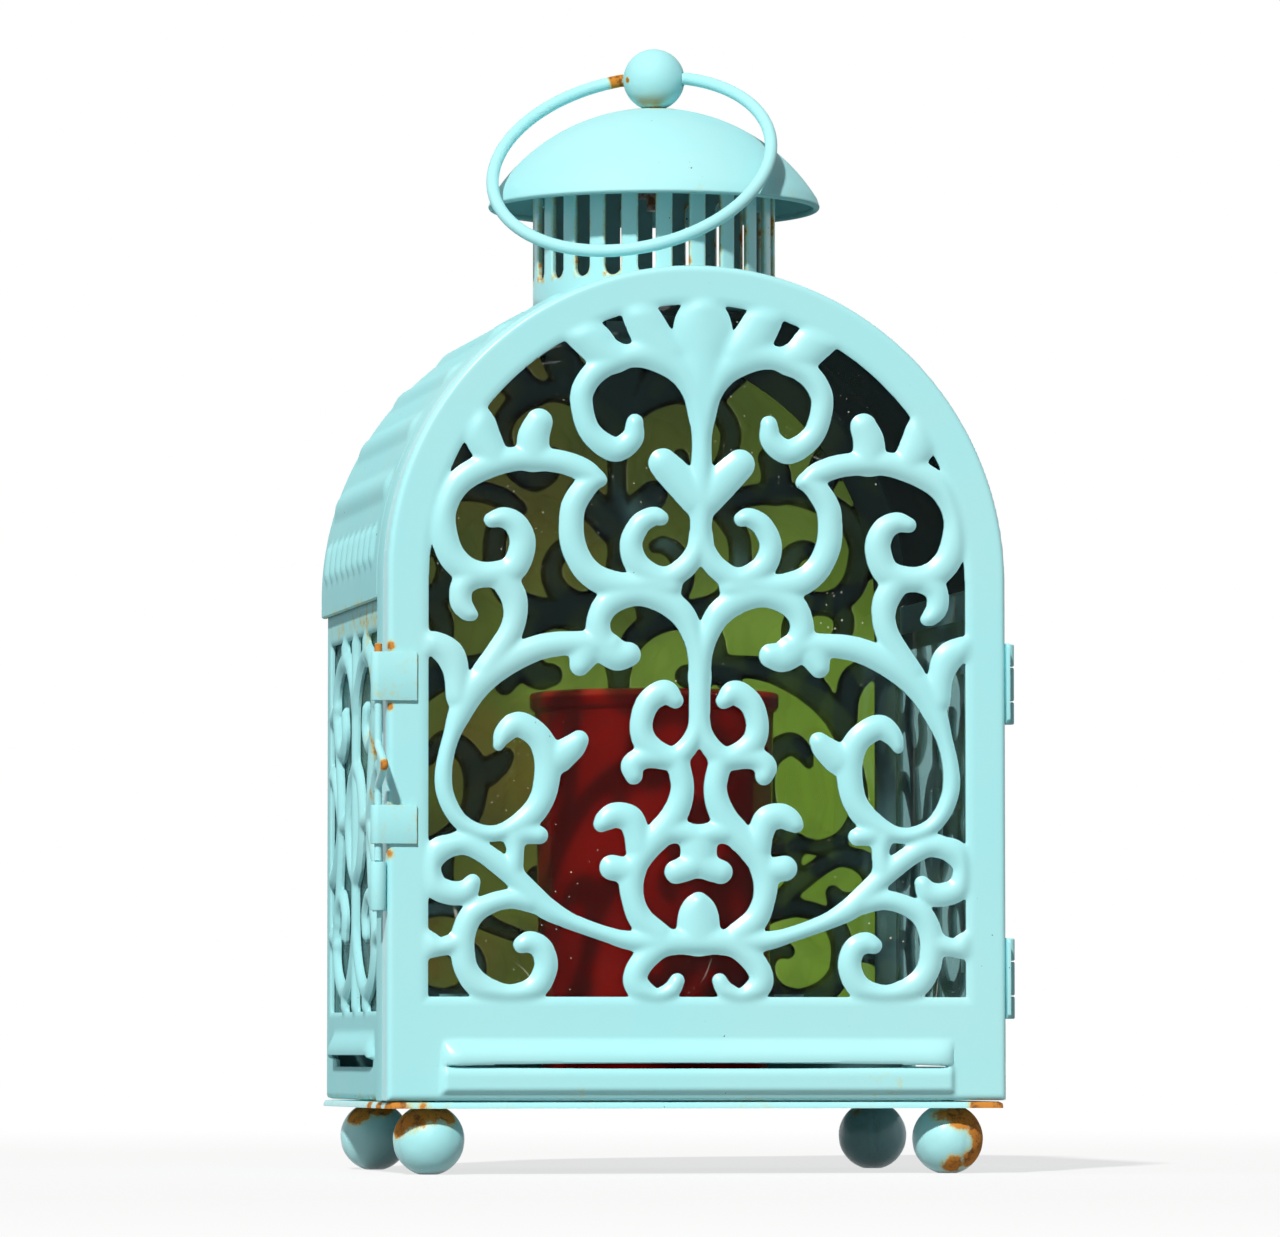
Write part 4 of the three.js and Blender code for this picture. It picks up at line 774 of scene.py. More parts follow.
door_scrolls = [
    # the fan of petals under the crown, and the stem
    [[0, 201, 3.4], [0, 198.5, 4.9], [0, 194.2, 7.3], [0, 189, 5.8], [-0.8, 181, 3.8], [-0.5, 174, 3],
     [0, 166, 2.2], [0, 158, 2.6], [0, 152, 3.6], [0, 146, 2.5], [0, 140, 2.6]],
    [[-16.4, 200.8, 2.9], [-15.4, 198.6, 4], [-13.8, 196.2, 4.8], [-11.5, 192.2, 5], [-7.8, 188, 4.5]],
    [[-31.2, 194.6, 4.2], [-29.7, 193.4, 4.5], [-26.6, 191, 4.9], [-24, 188.3, 4.5], [-21, 187, 3.8]],
    # the crown scroll
    [[-0.6, 172, 2.3], [-2, 178, 2.6], [-5, 184, 3.6], [-10.5, 187.5, 4], [-17, 187.4, 3],
     [-24.5, 184.3, 3], [-28.5, 179.8, 2.9], [-29.4, 175, 2.8], [-27.2, 167.9, 2.8],
     [-21.3, 163.7, 3.1], [-16.8, 166.3, 2.8], [-16, 170.6, 2.1]],
    # the shoulder arm with its spiral, and the two lobes on it
    [[-24.4, 155.7, 1.3], [-28.5, 158.2, 2.8], [-35, 160.4, 2.9], [-45, 161, 3], [-53.5, 158.9, 3.3],
     [-59.8, 155, 3.2], [-63.2, 149.5, 3.1], [-64, 144, 3.3], [-62.2, 137, 3.4], [-58, 132.7, 3.4],
     [-52.5, 131.7, 3.2], [-46.5, 133.4, 3.4], [-44.1, 139.5, 3.3], [-45.6, 144.2, 3],
     [-48.8, 146.1, 2.6], [-51.9, 145.5, 1.9]],
    [[-40, 170.3, 3.4], [-41.4, 166.5, 4], [-41.5, 162, 4.2]],
    [[-59, 173.5, 3.5], [-55.6, 170, 4.4], [-54, 166, 4.5], [-51.5, 161.5, 3.8]],
    # the inner curve, the vee on the stem and the small scroll below it
    [[-25.2, 156.2, 1.8], [-28.6, 153.8, 2.9], [-31.3, 149.5, 3.1], [-31.95, 145, 3.1],
     [-31.7, 140.5, 3.2], [-30.2, 136.2, 3.2], [-27.6, 132.6, 3.3], [-23.5, 130.2, 3.4],
     [-17, 129.3, 3.2], [-9, 130.7, 3.2]],
    [[-8.9, 160.3, 3.8], [-5.6, 156.7, 4.2], [-1.5, 151.5, 4]],
    [[0, 142, 2.5], [-1.2, 138, 2.6], [-4, 133.9, 2.8], [-9, 131.2, 2.9], [-15, 134.2, 3.1],
     [-17, 139.6, 2.85], [-14.9, 144.7, 2.7], [-11.5, 146.9, 2.4], [-9.5, 146.5, 1.9]],
    # the waist
    [[-7.5, 129.2, 3.3], [-11, 129, 4]],
    [[0, 106, 2.5], [-0.3, 111, 2.6], [-1.7, 116.5, 2.6], [-4.3, 122.2, 3.2], [-9.5, 126.2, 3.4],
     [-16, 127.5, 3.3], [-22.5, 125, 3.3], [-25.2, 120, 3], [-24.2, 114.5, 3.6],
     [-20.8, 111.8, 3.8], [-17.6, 112, 3.1]],
    [[-29.8, 109.1, 2.6], [-28.5, 112.5, 4]],
    # the long arm that runs out to the frame and back in a loop, with its leaf and lobes
    [[-22, 114, 3], [-26.5, 114.6, 3.2], [-31.5, 114.7, 3], [-36, 114.4, 3.1], [-40.8, 113.3, 3.2],
     [-46.8, 110.6, 3.4], [-52.5, 106.8, 3.5], [-56.7, 102.5, 3.5], [-59.7, 96.8, 2.9],
     [-61.7, 91.5, 2.1], [-63.2, 86, 2], [-63.8, 81, 2.15], [-63.3, 76.5, 2.15], [-61.3, 72, 2.1],
     [-58.3, 68.8, 2], [-53.5, 66.9, 2], [-48.6, 67.4, 2.2], [-42.8, 70.7, 3], [-39.5, 75, 3.1],
     [-38.1, 80, 3.25], [-37.9, 86, 3.4], [-40.2, 91.2, 3.2], [-45.1, 94.2, 3.15],
     [-48.6, 92, 2.5], [-50.1, 88.9, 1.35]],
    [[-30, 90.4, 2.4], [-31.7, 88.5, 3.2], [-35, 86, 3.9]],
    [[-39.9, 66.4, 2.2], [-44, 67, 2.8]],
    [[-46.2, 66, 2.8], [-45.9, 62.5, 2.2], [-46.5, 58, 2.6]],
    # the arm, the limb and the hook beside the frame
    [[-69, 114, 3.1], [-66, 114.2, 3.1], [-62.3, 111.6, 3.7], [-60.6, 107, 3.2], [-60.2, 101, 3]],
    [[-49, 131, 3.4], [-46.4, 126.3, 3.3], [-45.9, 122, 3], [-47, 117.6, 2.95],
     [-49.5, 113.2, 3.1], [-53, 107.8, 3.3]],
    [[-56.5, 131.5, 3.2], [-59.2, 128.6, 2.9], [-59.5, 124.9, 2.75], [-58.1, 122.5, 2.3],
     [-56.8, 121.6, 1.6]],
    # the diagonal, the curl on the frame and the corner scroll with its leaf
    [[-60, 64.3, 2.7], [-57, 63.9, 2.8], [-53.5, 61.8, 2.6], [-50.2, 59.4, 2.7], [-46, 55.8, 2.7],
     [-42.3, 51.8, 3], [-38.2, 48.2, 2.8], [-33, 45.3, 2.15], [-28, 43.3, 1.95], [-23, 41.6, 1.95],
     [-18.3, 40.3, 2.3], [-12, 39.8, 3], [-5, 40, 2.9], [0, 40, 3]],
    [[-60.5, 64.3, 2.6], [-65, 62.4, 3.2], [-66.9, 58.5, 2.6], [-65.8, 53.7, 3], [-61.8, 51.9, 3],
     [-58.2, 52.3, 2.9], [-56.5, 54.7, 1.95]],
    [[-42, 50, 2.9], [-47, 50.5, 2.5], [-52, 49.3, 2.5], [-56.5, 46.6, 2.9], [-58.7, 41.8, 3],
     [-58.9, 37, 3], [-57.8, 32.4, 3], [-54.3, 28.4, 3.2], [-47.5, 26.3, 2.8], [-41, 28.2, 3],
     [-38.25, 33.3, 2.95], [-39.2, 37.9, 2.85], [-42.1, 39.7, 2.7], [-44.3, 39, 2.1]],
    [[-60, 39.5, 2.7], [-64.6, 38.5, 2.4], [-68, 39, 3.6]],
    # the heart on the stem
    [[-5.9, 100.5, 2], [-8.6, 102.6, 3.1], [-12.6, 100, 3], [-14.4, 95, 2.85], [-13.7, 90.6, 3],
     [-10.5, 87.3, 3.1], [-6.5, 86, 2.9], [-3.2, 88.5, 2.6], [-0.8, 93, 2.3], [0, 99, 2.4],
     [0, 107, 2.4]],
    [[-9, 86.2, 2.7], [-13.8, 86, 2.8], [-16.6, 84.1, 2.9], [-16.3, 81.5, 2.2]],
    # the lower limb, its neck, bulbs and curl
    [[-5.5, 86, 2.8], [-4.7, 82.5, 2.9], [-4.1, 78.8, 2.9], [-4.7, 75, 3.1], [-6.4, 71.2, 3.3],
     [-9, 67.6, 3.5], [-12.8, 63.6, 3.3], [-15.6, 59.5, 3.1], [-16.9, 55, 3.1],
     [-16.4, 50, 2.85], [-14.4, 45.4, 3.1], [-10, 41.5, 3.2]],
    [[0, 64.2, 4.4], [0, 61, 4.2]],
    [[-9, 67.8, 3], [-4, 67.3, 2.9], [0, 66.2, 2.6]],
    [[-5.6, 57.4, 3], [-2.8, 58.4, 3.2], [0, 60, 3.4]],
    [[-14.8, 63.5, 3.5], [-15.7, 67.2, 3.2], [-17.2, 70.6, 3.4], [-20.6, 71.6, 3.2],
     [-23, 70.6, 2.8], [-24.4, 69.3, 2]],
    [[-21.7, 58.4, 3.2], [-17, 57.5, 3.2]],
    # the point and the foot scroll at the bottom
    [[0, 42, 5.3], [0, 46.5, 4.7], [0, 50, 2.1]],
    [[0, 39.6, 2.7], [-8, 39.2, 2.9], [-12.8, 36.2, 3], [-15.7, 32, 3], [-15.3, 28.6, 3.1],
     [-11, 25.7, 2.5], [-7, 27.6, 2.2], [-5.4, 30.1, 1.85]],
]


def arch_depth(u, v, radius, half_width, foot):
    """How far inside an arched outline each point lies; v runs up from the sill."""
    upper = radius - np.hypot(u, v - arch)
    lower = half_width - np.abs(u)
    return np.minimum(v - foot, np.where(v > arch, upper, lower))


def arched_scrolls(us, vs, times):
    """The window's edge and the scroll work in it: depth in metal and beyond the window, and the
    softened round backs of the strokes. Where the crown's petals meet they are softened more."""
    grid_u, grid_v = np.meshgrid(us, vs)
    radius = window_radius + window_crown * blend_in(grid_v, *crown_from)
    border = -arch_depth(grid_u, grid_v, radius, window_half, window_foot)
    spread = window_half / drawn_window_half
    scrolls, back = scroll_depth(door_scrolls, us, vs, 1.1, spread, pattern_lean, lean_from)
    metal = smooth_max(scrolls, border, blend=0.8)
    soft = softened(back, times)
    in_fan = blend_in(grid_v, *fan_from) * blend_in(-np.abs(grid_u), *fan_sides)
    return metal, border, soft + (softened(soft, fan_softening) - soft) * in_fan


rear_us = grid_of(-rear_radius, rear_radius, rear_step)
rear_vs = grid_of(0, arch + rear_radius, rear_step)
rear_metal, border, soft = arched_scrolls(rear_us, rear_vs, 1)
edge = arch_depth(*np.meshgrid(rear_us, rear_vs), rear_radius, rear_half, 0)
points, faces = press_sheet(
    rear_us, rear_vs, [np.minimum(rear_metal, edge), border, soft, edge], rear_step,
    lambda u, v, *depths: pressed(*depths, rise=0.9, sink=-0.75, cut=0.25, fold=0.6, runs_out=(-1.5, 1.8)),
    lambda u, v, *depths: np.full_like(u, -sheet),
    lambda u, v, h: (-u, rear_y + h, sill + v),
)
# The inner face is darkened with painted shade and soot, so the scrolls seen through the door look shaded.
make_piece("rear_wall", points, faces, wall_finish, "lantern_body", ["rear_panel"],
           np.full(len(points), 0.08), soot=inner_side(points) * 0.74)


# The front frame: an arched band of steel behind the door, its front edge turned in as a stop.
frame_front = -49.7
frame_back = -39.7
frame_stop = 6.0


def carried_round(profile):
    """A closed section carried round the arch; its points are (inset from the outline, y)."""
    rows = []
    for inset, y in profile:
        side = [(door_half - inset, z) for z in np.linspace(inset, arch, 44, endpoint=False)]
        top = [
            ((door_half - inset) * math.cos(a), arch + (door_half - inset) * math.sin(a))
            for a in np.linspace(0, math.pi, 121)
        ]
        foot = [(x, inset) for x in np.linspace(inset - door_half, door_half - inset, 40)[1:-1]]
        line = side + top + [(-x, z) for x, z in reversed(side)] + foot
        rows.append([(x, y, sill + z) for x, z in line])
    count = len(rows[0])
    points = np.array(rows).reshape(-1, 3)
    faces = []
    for r in range(len(rows)):
        n = (r + 1) % len(rows)
        for k in range(count):
            m = (k + 1) % count
            faces.append([r * count + k, r * count + m, n * count + m, n * count + k])
    return points, faces


frame_profile = [
    (0.0, frame_back), (sheet, frame_back), (sheet, frame_front + sheet), (frame_stop, frame_front + sheet),
    (frame_stop, frame_front), (1.2, frame_front), (0.55, frame_front + 0.2), (0.2, frame_front + 0.55),
    (0.0, frame_front + 1.2),
]
points, faces = carried_round(frame_profile)
wear = strongest(0.3 * close_to(points[:, 2] - sill, 6), 0.08)
make_piece("door_frame", points, faces, wall_finish, "lantern_body", ["front_frame"], wear)


# The roof: a steel barrel rolled over the walls, with ribs from front to back, a row of short
# upright flutes over each eave, and a smoke hole under the chimney.
eave_drop = 4.85
roof_front = -39.4
roof_rear = 57.0
rib_angles = (18, 30, 42, 54, 66)
rib_half = 4.8
rib_rise = 1.15
rib_setback = 3.0
flute_count = 9
flute_pitch = 9.6
flute_half_length = 6.0
flute_half = 3.3
flute_rise = 1.1
flute_angle = 6.6
smoke_hole = 26.0
chimney_radius = 31.5


def ridge(along, across, half_length, half_width, rise, power):
    """The height of a pressed rib with rounded ends."""
    past_end = np.maximum(np.abs(along) - (half_length - half_width), 0)
    away = np.hypot(past_end, across) / half_width
    return rise * np.cos(np.clip(away, 0, 1) * math.pi / 2) ** power


step = 0.8
quarter = door_half * math.pi / 2
us = grid_of(-quarter - eave_drop, quarter + eave_drop, step)
vs = grid_of(-roof_rear, -roof_front, step)
grid_u, grid_v = np.meshgrid(us, vs)
roof_x = door_half * np.sin(np.clip(grid_u / door_half, -math.pi / 2, math.pi / 2))
roof_y = -grid_v
from_chimney = np.hypot(roof_x, roof_y - axis_y)
edge = box_depth(grid_u, grid_v, -quarter - eave_drop, quarter + eave_drop, -roof_rear, -roof_front)
metal = np.minimum(edge, from_chimney - smoke_hole)
relief = np.zeros_like(edge)
rib_length = (roof_rear - roof_front) / 2 - rib_setback
clear_of_chimney = blend_in(from_chimney, chimney_radius + 0.4, chimney_radius + 2.4)
for sx in (-1, 1):
    for degrees in rib_angles:
        across = grid_u - sx * math.radians(90 - degrees) * door_half
        rib = ridge(roof_y - wall_middle, across, rib_length, rib_half, rib_rise, 1.25)
        relief = np.maximum(relief, rib * clear_of_chimney)
    for n in range(flute_count):
        along = grid_u - sx * math.radians(90 - flute_angle) * door_half
        across = roof_y - wall_middle - (n - (flute_count - 1) / 2) * flute_pitch
        relief = np.maximum(relief, ridge(along, across, flute_half_length, flute_half, flute_rise, 1.2))
relief = softened(relief, 1)


def barrel(u, v, h):
    """Bends the flat sheet over the arch, with its eaves straight down."""
    turn = np.clip(u / door_half, -math.pi / 2, math.pi / 2)
    below = np.abs(u) - np.abs(turn) * door_half
    return (door_half + h) * np.sin(turn), -v, sill + arch + (door_half + h) * np.cos(turn) - below


points, faces = press_sheet(
    us, vs, [metal, edge, relief], step,
    lambda u, v, metal, edge, relief: relief + eased_edge(edge, 0.5),
    lambda u, v, metal, edge, relief: np.full_like(u, -sheet),
    barrel,
)
wear = strongest(
    0.32 * close_to(points[:, 2] - sill - arch + eave_drop, 3),
    0.34 * close_to(points[:, 1] - roof_front, 2),
    0.05,
)
roof_finish = enamel("roof_enamel", specks=0.45, relief=0.3, chalk=0.36)
# The roof's inner face is darkened almost fully with painted shade and soot.
make_piece("barrel_roof", points, faces, roof_finish, "lantern_body", ["roof_shell"], wear,
           soot=inner_side(points) * 0.95)


# The chimney: a steel strip rolled to a tube and cut to sit on the barrel, with a ring of long
# slots for the smoke. Paint is thin on the cut edges of the slots, and they rust first.
chimney_low = 215.0
chimney_top = 262.0
slot_count = 22
slot_half = 2.3
slot_low = 229.8
slot_high = 254.5
slot_turn = 2.1
slot_pitch = 2 * math.pi * chimney_radius / slot_count
saddle = 79.65


def from_slot(round_tube):
    """How far round the tube each point lies from the middle of the nearest slot."""
    slots = (round_tube - math.radians(90 + slot_turn) * chimney_radius) / slot_pitch - 0.5
    return np.abs(slots - np.round(slots)) * slot_pitch


step = 0.45
half_round = math.pi * chimney_radius
us = grid_of(-half_round, half_round, step)
vs = grid_of(chimney_low, chimney_top, step)
grid_u, grid_v = np.meshgrid(us, vs)
across = chimney_radius * np.sin(grid_u / chimney_radius)
foot = sill + arch + np.sqrt(saddle**2 - across**2)
ends = half_round - np.abs(grid_u)
edge = np.minimum(np.minimum(chimney_top - grid_v, grid_v - foot), ends)
slot_reach = (slot_high - slot_low) / 2 - slot_half
along = np.maximum(np.abs(grid_v - (slot_low + slot_high) / 2) - slot_reach, 0)
metal = np.minimum(edge, np.hypot(from_slot(grid_u), along) - slot_half)
points, faces = press_sheet(
    us, vs, [metal], step,
    lambda u, v, metal: eased_edge(metal, 0.3),
    lambda u, v, metal: np.full_like(u, -sheet),
    lambda u, v, h: (
        -(chimney_radius + h) * np.sin(u / chimney_radius),
        axis_y + (chimney_radius + h) * np.cos(u / chimney_radius),
        v,
    ),
)
round_tube = np.arctan2(-points[:, 0], points[:, 1] - axis_y) * chimney_radius
beside_slots = blend_in(points[:, 2], slot_low - 1.5, slot_low)
beside_slots = beside_slots * blend_in(-points[:, 2], -slot_high - 1.5, -slot_high)
wear = 0.08 + 0.30 * close_to(from_slot(round_tube) - slot_half, 0.9) * beside_slots
chimney_finish = enamel("chimney_enamel", specks=0.55, relief=0.3)
# The inside of the tube is darkened by half with painted shade and soot.
make_piece("slotted_chimney", points, faces, chimney_finish, "lantern_body", ["chimney"], wear,
           soot=inner_side(points) * 0.5)


# The cap: a spun steel dome with a beaded rim. A stem through its crown draws it down on a bridge
# across the chimney with a nut, and a ball knob is screwed on the stem.
dome_radius = 43.1
dome_sphere = 49.85
dome_sphere_z = 226.05
dome_bead = 0.9
stem_hole = 2.3
knob_radius = 8.0
knob_z = 283.6
knob_seat = 276.2
knob_steps = 60
knob_dent = 0.10
knob_dent_scale = 0.3
ring_turn = math.radians(24.0)
ring_eye = 1.9

for node in ("crown_stem", "crown_nut"):
    dress(node, plated_steel)
dress("crown_bridge", wall_finish)


def over_dome(radii, sphere):
    """Points of the dome's profile, on a sphere of that radius."""
    return [(r, dome_sphere_z + math.sqrt(sphere**2 - r**2)) for r in radii]


rim_z = dome_sphere_z + math.sqrt(dome_sphere**2 - dome_radius**2)
profile = over_dome(np.linspace(stem_hole, dome_radius - 2.2, 30), dome_sphere - sheet)
profile += arc(dome_bead, rim_z - dome_bead, -215, 35, 14, dome_radius - dome_bead)
profile += over_dome(np.linspace(dome_radius - 0.6, stem_hole, 44), dome_sphere)
points, faces = turned(profile, 144, closed=True)
points = points + np.array([0, axis_y, 0])
wear = strongest(
    0.14 * close_to(points[:, 2] - rim_z, 3),
    worn_spots(points, [(0, -3, 275.5, 6.5, 0.6), (-5, -1, 275.5, 5, 0.8), (3, -5, 275.5, 3, 0.6)]),
)
outward = np.hypot(points[:, 0], points[:, 1] - axis_y)
# The underside of the dome is darkened with painted shade and some soot.
shaded_underside = points[:, 2] < dome_sphere_z + np.sqrt(np.maximum((dome_sphere - 0.6) ** 2 - outward**2, 0))
dome_finish = enamel("dome_enamel", specks=0.4, relief=0.25, chalk=0.25)
make_piece("spun_dome", points, faces, dome_finish, "lantern_body", ["dome_cap"], wear, soot=shaded_underside * 0.3)

eye_angle = math.degrees(math.asin(ring_eye / knob_radius))
profile = arc(knob_radius, 0, 90 - eye_angle, -90 + eye_angle, knob_steps)
profile = [(ring_eye if i in (0, knob_steps) else r, z) for i, (r, z) in enumerate(profile)]
points, faces = turned(profile, 96, closed=True)
ring_axis = np.array([math.cos(ring_turn), -math.sin(ring_turn), 0])
ring_side = np.array([-ring_axis[1], ring_axis[0], 0])
points = points @ np.array([ring_side, [0, 0, 1], ring_axis])
dents = np.array([noise.noise(Vector(p) * knob_dent_scale + Vector((7, 3, 1))) for p in points])
shrunk = 1 - knob_dent * np.maximum(dents, 0) / knob_radius
knob_middle = np.array([0, axis_y, knob_z])
points = points * shrunk[:, None] + knob_middle
points[:, 2] = np.maximum(points[:, 2], knob_seat)
wear = worn_spots(points, [
    (-3, -5, 275, 5, 1), (2, -6, 275, 4.5, 0.95), (5, -4, 275.5, 3.5, 0.8), (-8, 1, 283, 2, 0.6),
])
make_piece("ball_knob", points, faces, dome_finish, "lantern_body", ["knob_ball"], wear)


# The carrying ring: a steel wire bent to a ring, its two ends turned into the knob from the sides,
# where it swings. At rest it leans on the roof's front edge.
ring_radius = 36.3
ring_wire = 1.6
ring_lean = math.radians(45.8)
ring_chord = 8.8
ring_seam = 0.15


def wire(line, radius, around=20):
    """Points and faces of a round wire along a line, its ends rounded off."""
    line = np.asarray(line, float)
    ahead = np.gradient(line, axis=0)
    ahead /= np.linalg.norm(ahead, axis=1)[:, None]
    side = np.cross(ahead[0], [0.3, 0.5, 0.8])
    side /= np.linalg.norm(side)
    rows = []
    for k, (point, direction) in enumerate(zip(line, ahead)):
        side = side - direction * np.dot(side, direction)
        side /= np.linalg.norm(side)
        up = np.cross(direction, side)
        wide = radius if np.ndim(radius) == 0 else radius[k]
        rows.append([
            point + wide * (math.cos(a) * side + math.sin(a) * up)
            for a in np.linspace(0, 2 * math.pi, around, endpoint=False)
        ])
    caps = []
    for point, direction, row in ((line[0], -ahead[0], rows[0]), (line[-1], ahead[-1], rows[-1])):
        wide = np.linalg.norm(row[0] - point)
        ease = min(0.35, wide * 0.4)
        for out, shrink in ((0.7, 0.7), (1.0, 1.6)):
            caps.append([
                point + direction * ease * out + (np.array(p) - point) * (1 - ease * shrink / wide)
                for p in row
            ])
    rows = [caps[1], caps[0]] + rows + [caps[2], caps[3]]
    points = np.array(rows).reshape(-1, 3)
    faces = []
    for r in range(len(rows) - 1):
        for k in range(around):
            m = (k + 1) % around
            faces.append([r * around + k, r * around + m, (r + 1) * around + m, (r + 1) * around + k])
    faces.append(list(range(around))[::-1])
    faces.append([(len(rows) - 1) * around + k for k in range(around)])
    return points, faces


ring_front = np.array([ring_axis[1], -ring_axis[0], 0])
hanging = ring_front * math.sin(ring_lean) + np.array([0, 0, -math.cos(ring_lean)])
drop = math.sqrt(ring_radius**2 - ring_chord**2)
start = math.atan2(ring_chord, drop)
bent = [
    knob_middle + hanging * (drop - ring_radius * math.cos(a)) + ring_axis * ring_radius * math.sin(a)
    for a in np.linspace(start, 2 * math.pi - start, 140)
]
in_knob = (ring_seam, 2, 4, 6)
line = [knob_middle + ring_axis * d for d in in_knob]
line += bent + [knob_middle - ring_axis * d for d in reversed(in_knob)]
points, faces = wire(drawn_line(line, 0.5), ring_wire, 48)
wear = worn_spots(points, [
    (*(knob_middle + ring_axis * 8.5), 1.6, 0.7), (*(knob_middle - ring_axis * 10), 4.0, 1.0),
    (27, -22, 262, 2.5, 0.75), (-38, -6, 254, 2.5, 0.75), (-18, -42, 240, 3, 0.6),
])
ring_finish = enamel("ring_enamel", specks=0.4, relief=0.03, chalk=0.2)
make_piece("carrying_ring", points, faces, ring_finish, "handle", ["ring_handle"], wear)


# The door: one steel sheet pierced and pressed with scrolls and turned back all round its edge.
# Across its foot the sheet is slit, the lip above it swelled out round and the one below it flat.
door_face = -57.0
door_flange = 7.0
louvre_half = 65.35
louvre_slit = 8.7
louvre_top = 15.6
louvre_bottom = 1.2
lip_rise = 2.2
panel_rise = 1.5

step = 0.55
us = grid_of(-door_half, door_half, step)
vs = grid_of(0, arch + door_half, step)
grid_u, grid_v = np.meshgrid(us, vs)
metal, border, soft = arched_scrolls(us, vs, 5)
edge = arch_depth(grid_u, grid_v, door_half, door_half, 0)
slit_height = 0.45 + 1.0 * np.clip(1 - (grid_u / (louvre_half - 3)) ** 2, 0, 1)
slit = slit_height / 2 - np.abs(grid_v - louvre_slit)
slit = np.minimum(slit, louvre_half - 1.5 - np.abs(grid_u))
metal = np.minimum(np.minimum(metal, edge), -slit)


def louvre(u, v):
    """The height of the swelled lip over the slit and of the flat panel under it."""
    lip = hood(u, v, louvre_half, louvre_slit, louvre_top, lip_rise, end=5, curl=118, power=1.3)
    inward = np.clip((louvre_slit - v) / 2.6, 0, 1)
    sides = blend_in(np.minimum(v - louvre_bottom, louvre_half + 0.8 - np.abs(u)), 0, 1.8)
    panel = panel_rise * sides * (0.45 + 0.55 * np.sin(inward * math.pi / 2))
    return np.where(v > louvre_slit, lip, panel)


def door_front(u, v, *depths):
    face = pressed(*depths, rise=0.85, sink=-0.75, cut=0.3, fold=1.5, runs_out=(-1.5, 2.2))
    return face + louvre(u, v)


def door_back(u, v, metal, border, soft, edge):
    return louvre(u, v) - sheet - (door_flange - sheet) * turned_edge(edge)


points, faces = press_sheet(
    us, vs, [metal, border, soft, edge], step, door_front, door_back,
    lambda u, v, h: (u, door_face - h, sill + v),
)
wear = strongest(0.16 * close_to(points[:, 2] - sill, 2), worn_spots(points, [
    (46, -58, 27, 10, 0.22), (50, -58, 22, 7, 0.26), (45, -58, 19.5, 1.6, 0.9), (-32, -58, 20, 8, 0.16),
    (-79, -57, 91, 3, 0.7), (-79, -57, 80, 3, 0.6), (-79, -57, 132, 3, 0.6), (-79, -57, 117, 2.5, 0.6),
]))
door_finish = enamel("door_enamel", specks=0.15, relief=0.22)
make_piece("scrolled_door", points, faces, door_finish, "door", ["door_panel"], wear)


# The panes: one of glass behind each pierced sheet, the door's clear, dusty and scratched, the side ones
# tinted dark teal as painted shade, and the rear one grown over with algae where light reaches it, its
# colours partly painted light and shade. Turned clips of painted sheet hold them.
glass_clear = (0.93, 0.97, 0.96, 1)
glass_painted_shade_tint = (0.24, 0.50, 0.50, 1)
# Algae colours that also stand for sunlit and shaded ground behind the lantern: painted light and shade.
algae_dark_painted_shade = (0.035, 0.042, 0.010, 1)
algae_brown_painted_shade = (0.080, 0.115, 0.018, 1)
algae_rusty_painted_shade = (0.110, 0.066, 0.012, 1)
algae_green_painted_light = (0.110, 0.205, 0.018, 1)
algae_bright_painted_light = (0.175, 0.310, 0.040, 1)
painted_shade_high_up = (0.030, 0.040, 0.010, 1)
dust_grey = (0.72, 0.70, 0.58, 1)
dust_step = 2.0
dust_inset = 0.5
dust_off = (0.03, 0.08)


def lit_through(finish, body, through):
    """How much of a pane the eye meets, and less for the sunlight that it lets through."""
    shadow = add_node(finish.node_tree, "ShaderNodeLightPath", {}).outputs["Is Shadow Ray"]
    return ramp_of(shadow, 0, 1, body, 1 - through)


def clear_glass(name, tint, bend, body, through, film=0.0):
    """Glass, of which the weather has dulled as much as film says."""
    finish, shader = new_finish(name)
    give(shader, {
        "Base Color": tint,
        "Roughness": 0.0,
        "IOR": bend,
        "Specular IOR Level": 0.3,
        "Transmission Weight": 1.0 - film,
        "Alpha": lit_through(finish, body, through),
    })
    return finish


def algae_and_painted_light_glass():
    """Glass under algae, with painted light and shade on it: shaded brown on the left, sunlit green on the
    right and painted shade high up.
    """
    finish, shader = new_finish("algae_and_painted_light_pane")
    place = place_in(finish)
    axes = add_node(finish.node_tree, "ShaderNodeSeparateXYZ", {0: place}).outputs
    streaky = ramp_of(noise_of(place, 26, 2), 0.3, 0.7)
    rusty = ramp_of(noise_of(place, 20, 3), 0.50, 0.62, 0, 0.5)
    shaded_brown_side = mix_of(rusty, mix_of(streaky, algae_dark_painted_shade, algae_brown_painted_shade), algae_rusty_painted_shade)
    sunlit_green_side = mix_of(streaky, algae_green_painted_light, algae_bright_painted_light)
    across = combined("ADD", axes["X"], combined("MULTIPLY", noise_of(place, 16, 3), 0.12))
    # browner and darker high up: painted shade
    across = combined("SUBTRACT", across, ramp_of(axes["Z"], 0.13, 0.22, 0, 0.05))
    growth = mix_of(ramp_of(across, 0.02, 0.10), shaded_brown_side, sunlit_green_side)
    growth = mix_of(ramp_of(axes["Z"], 0.115, 0.185, 0, 0.65), growth, painted_shade_high_up)
    give(shader, {
        "Base Color": mix_of(mark_in(finish, "growth"), glass_clear, growth),
        "Roughness": 0.0,
        "IOR": 1.02,
        "Transmission Weight": 1.0,
        "Alpha": lit_through(finish, 1, 0.55),
    })
    return finish


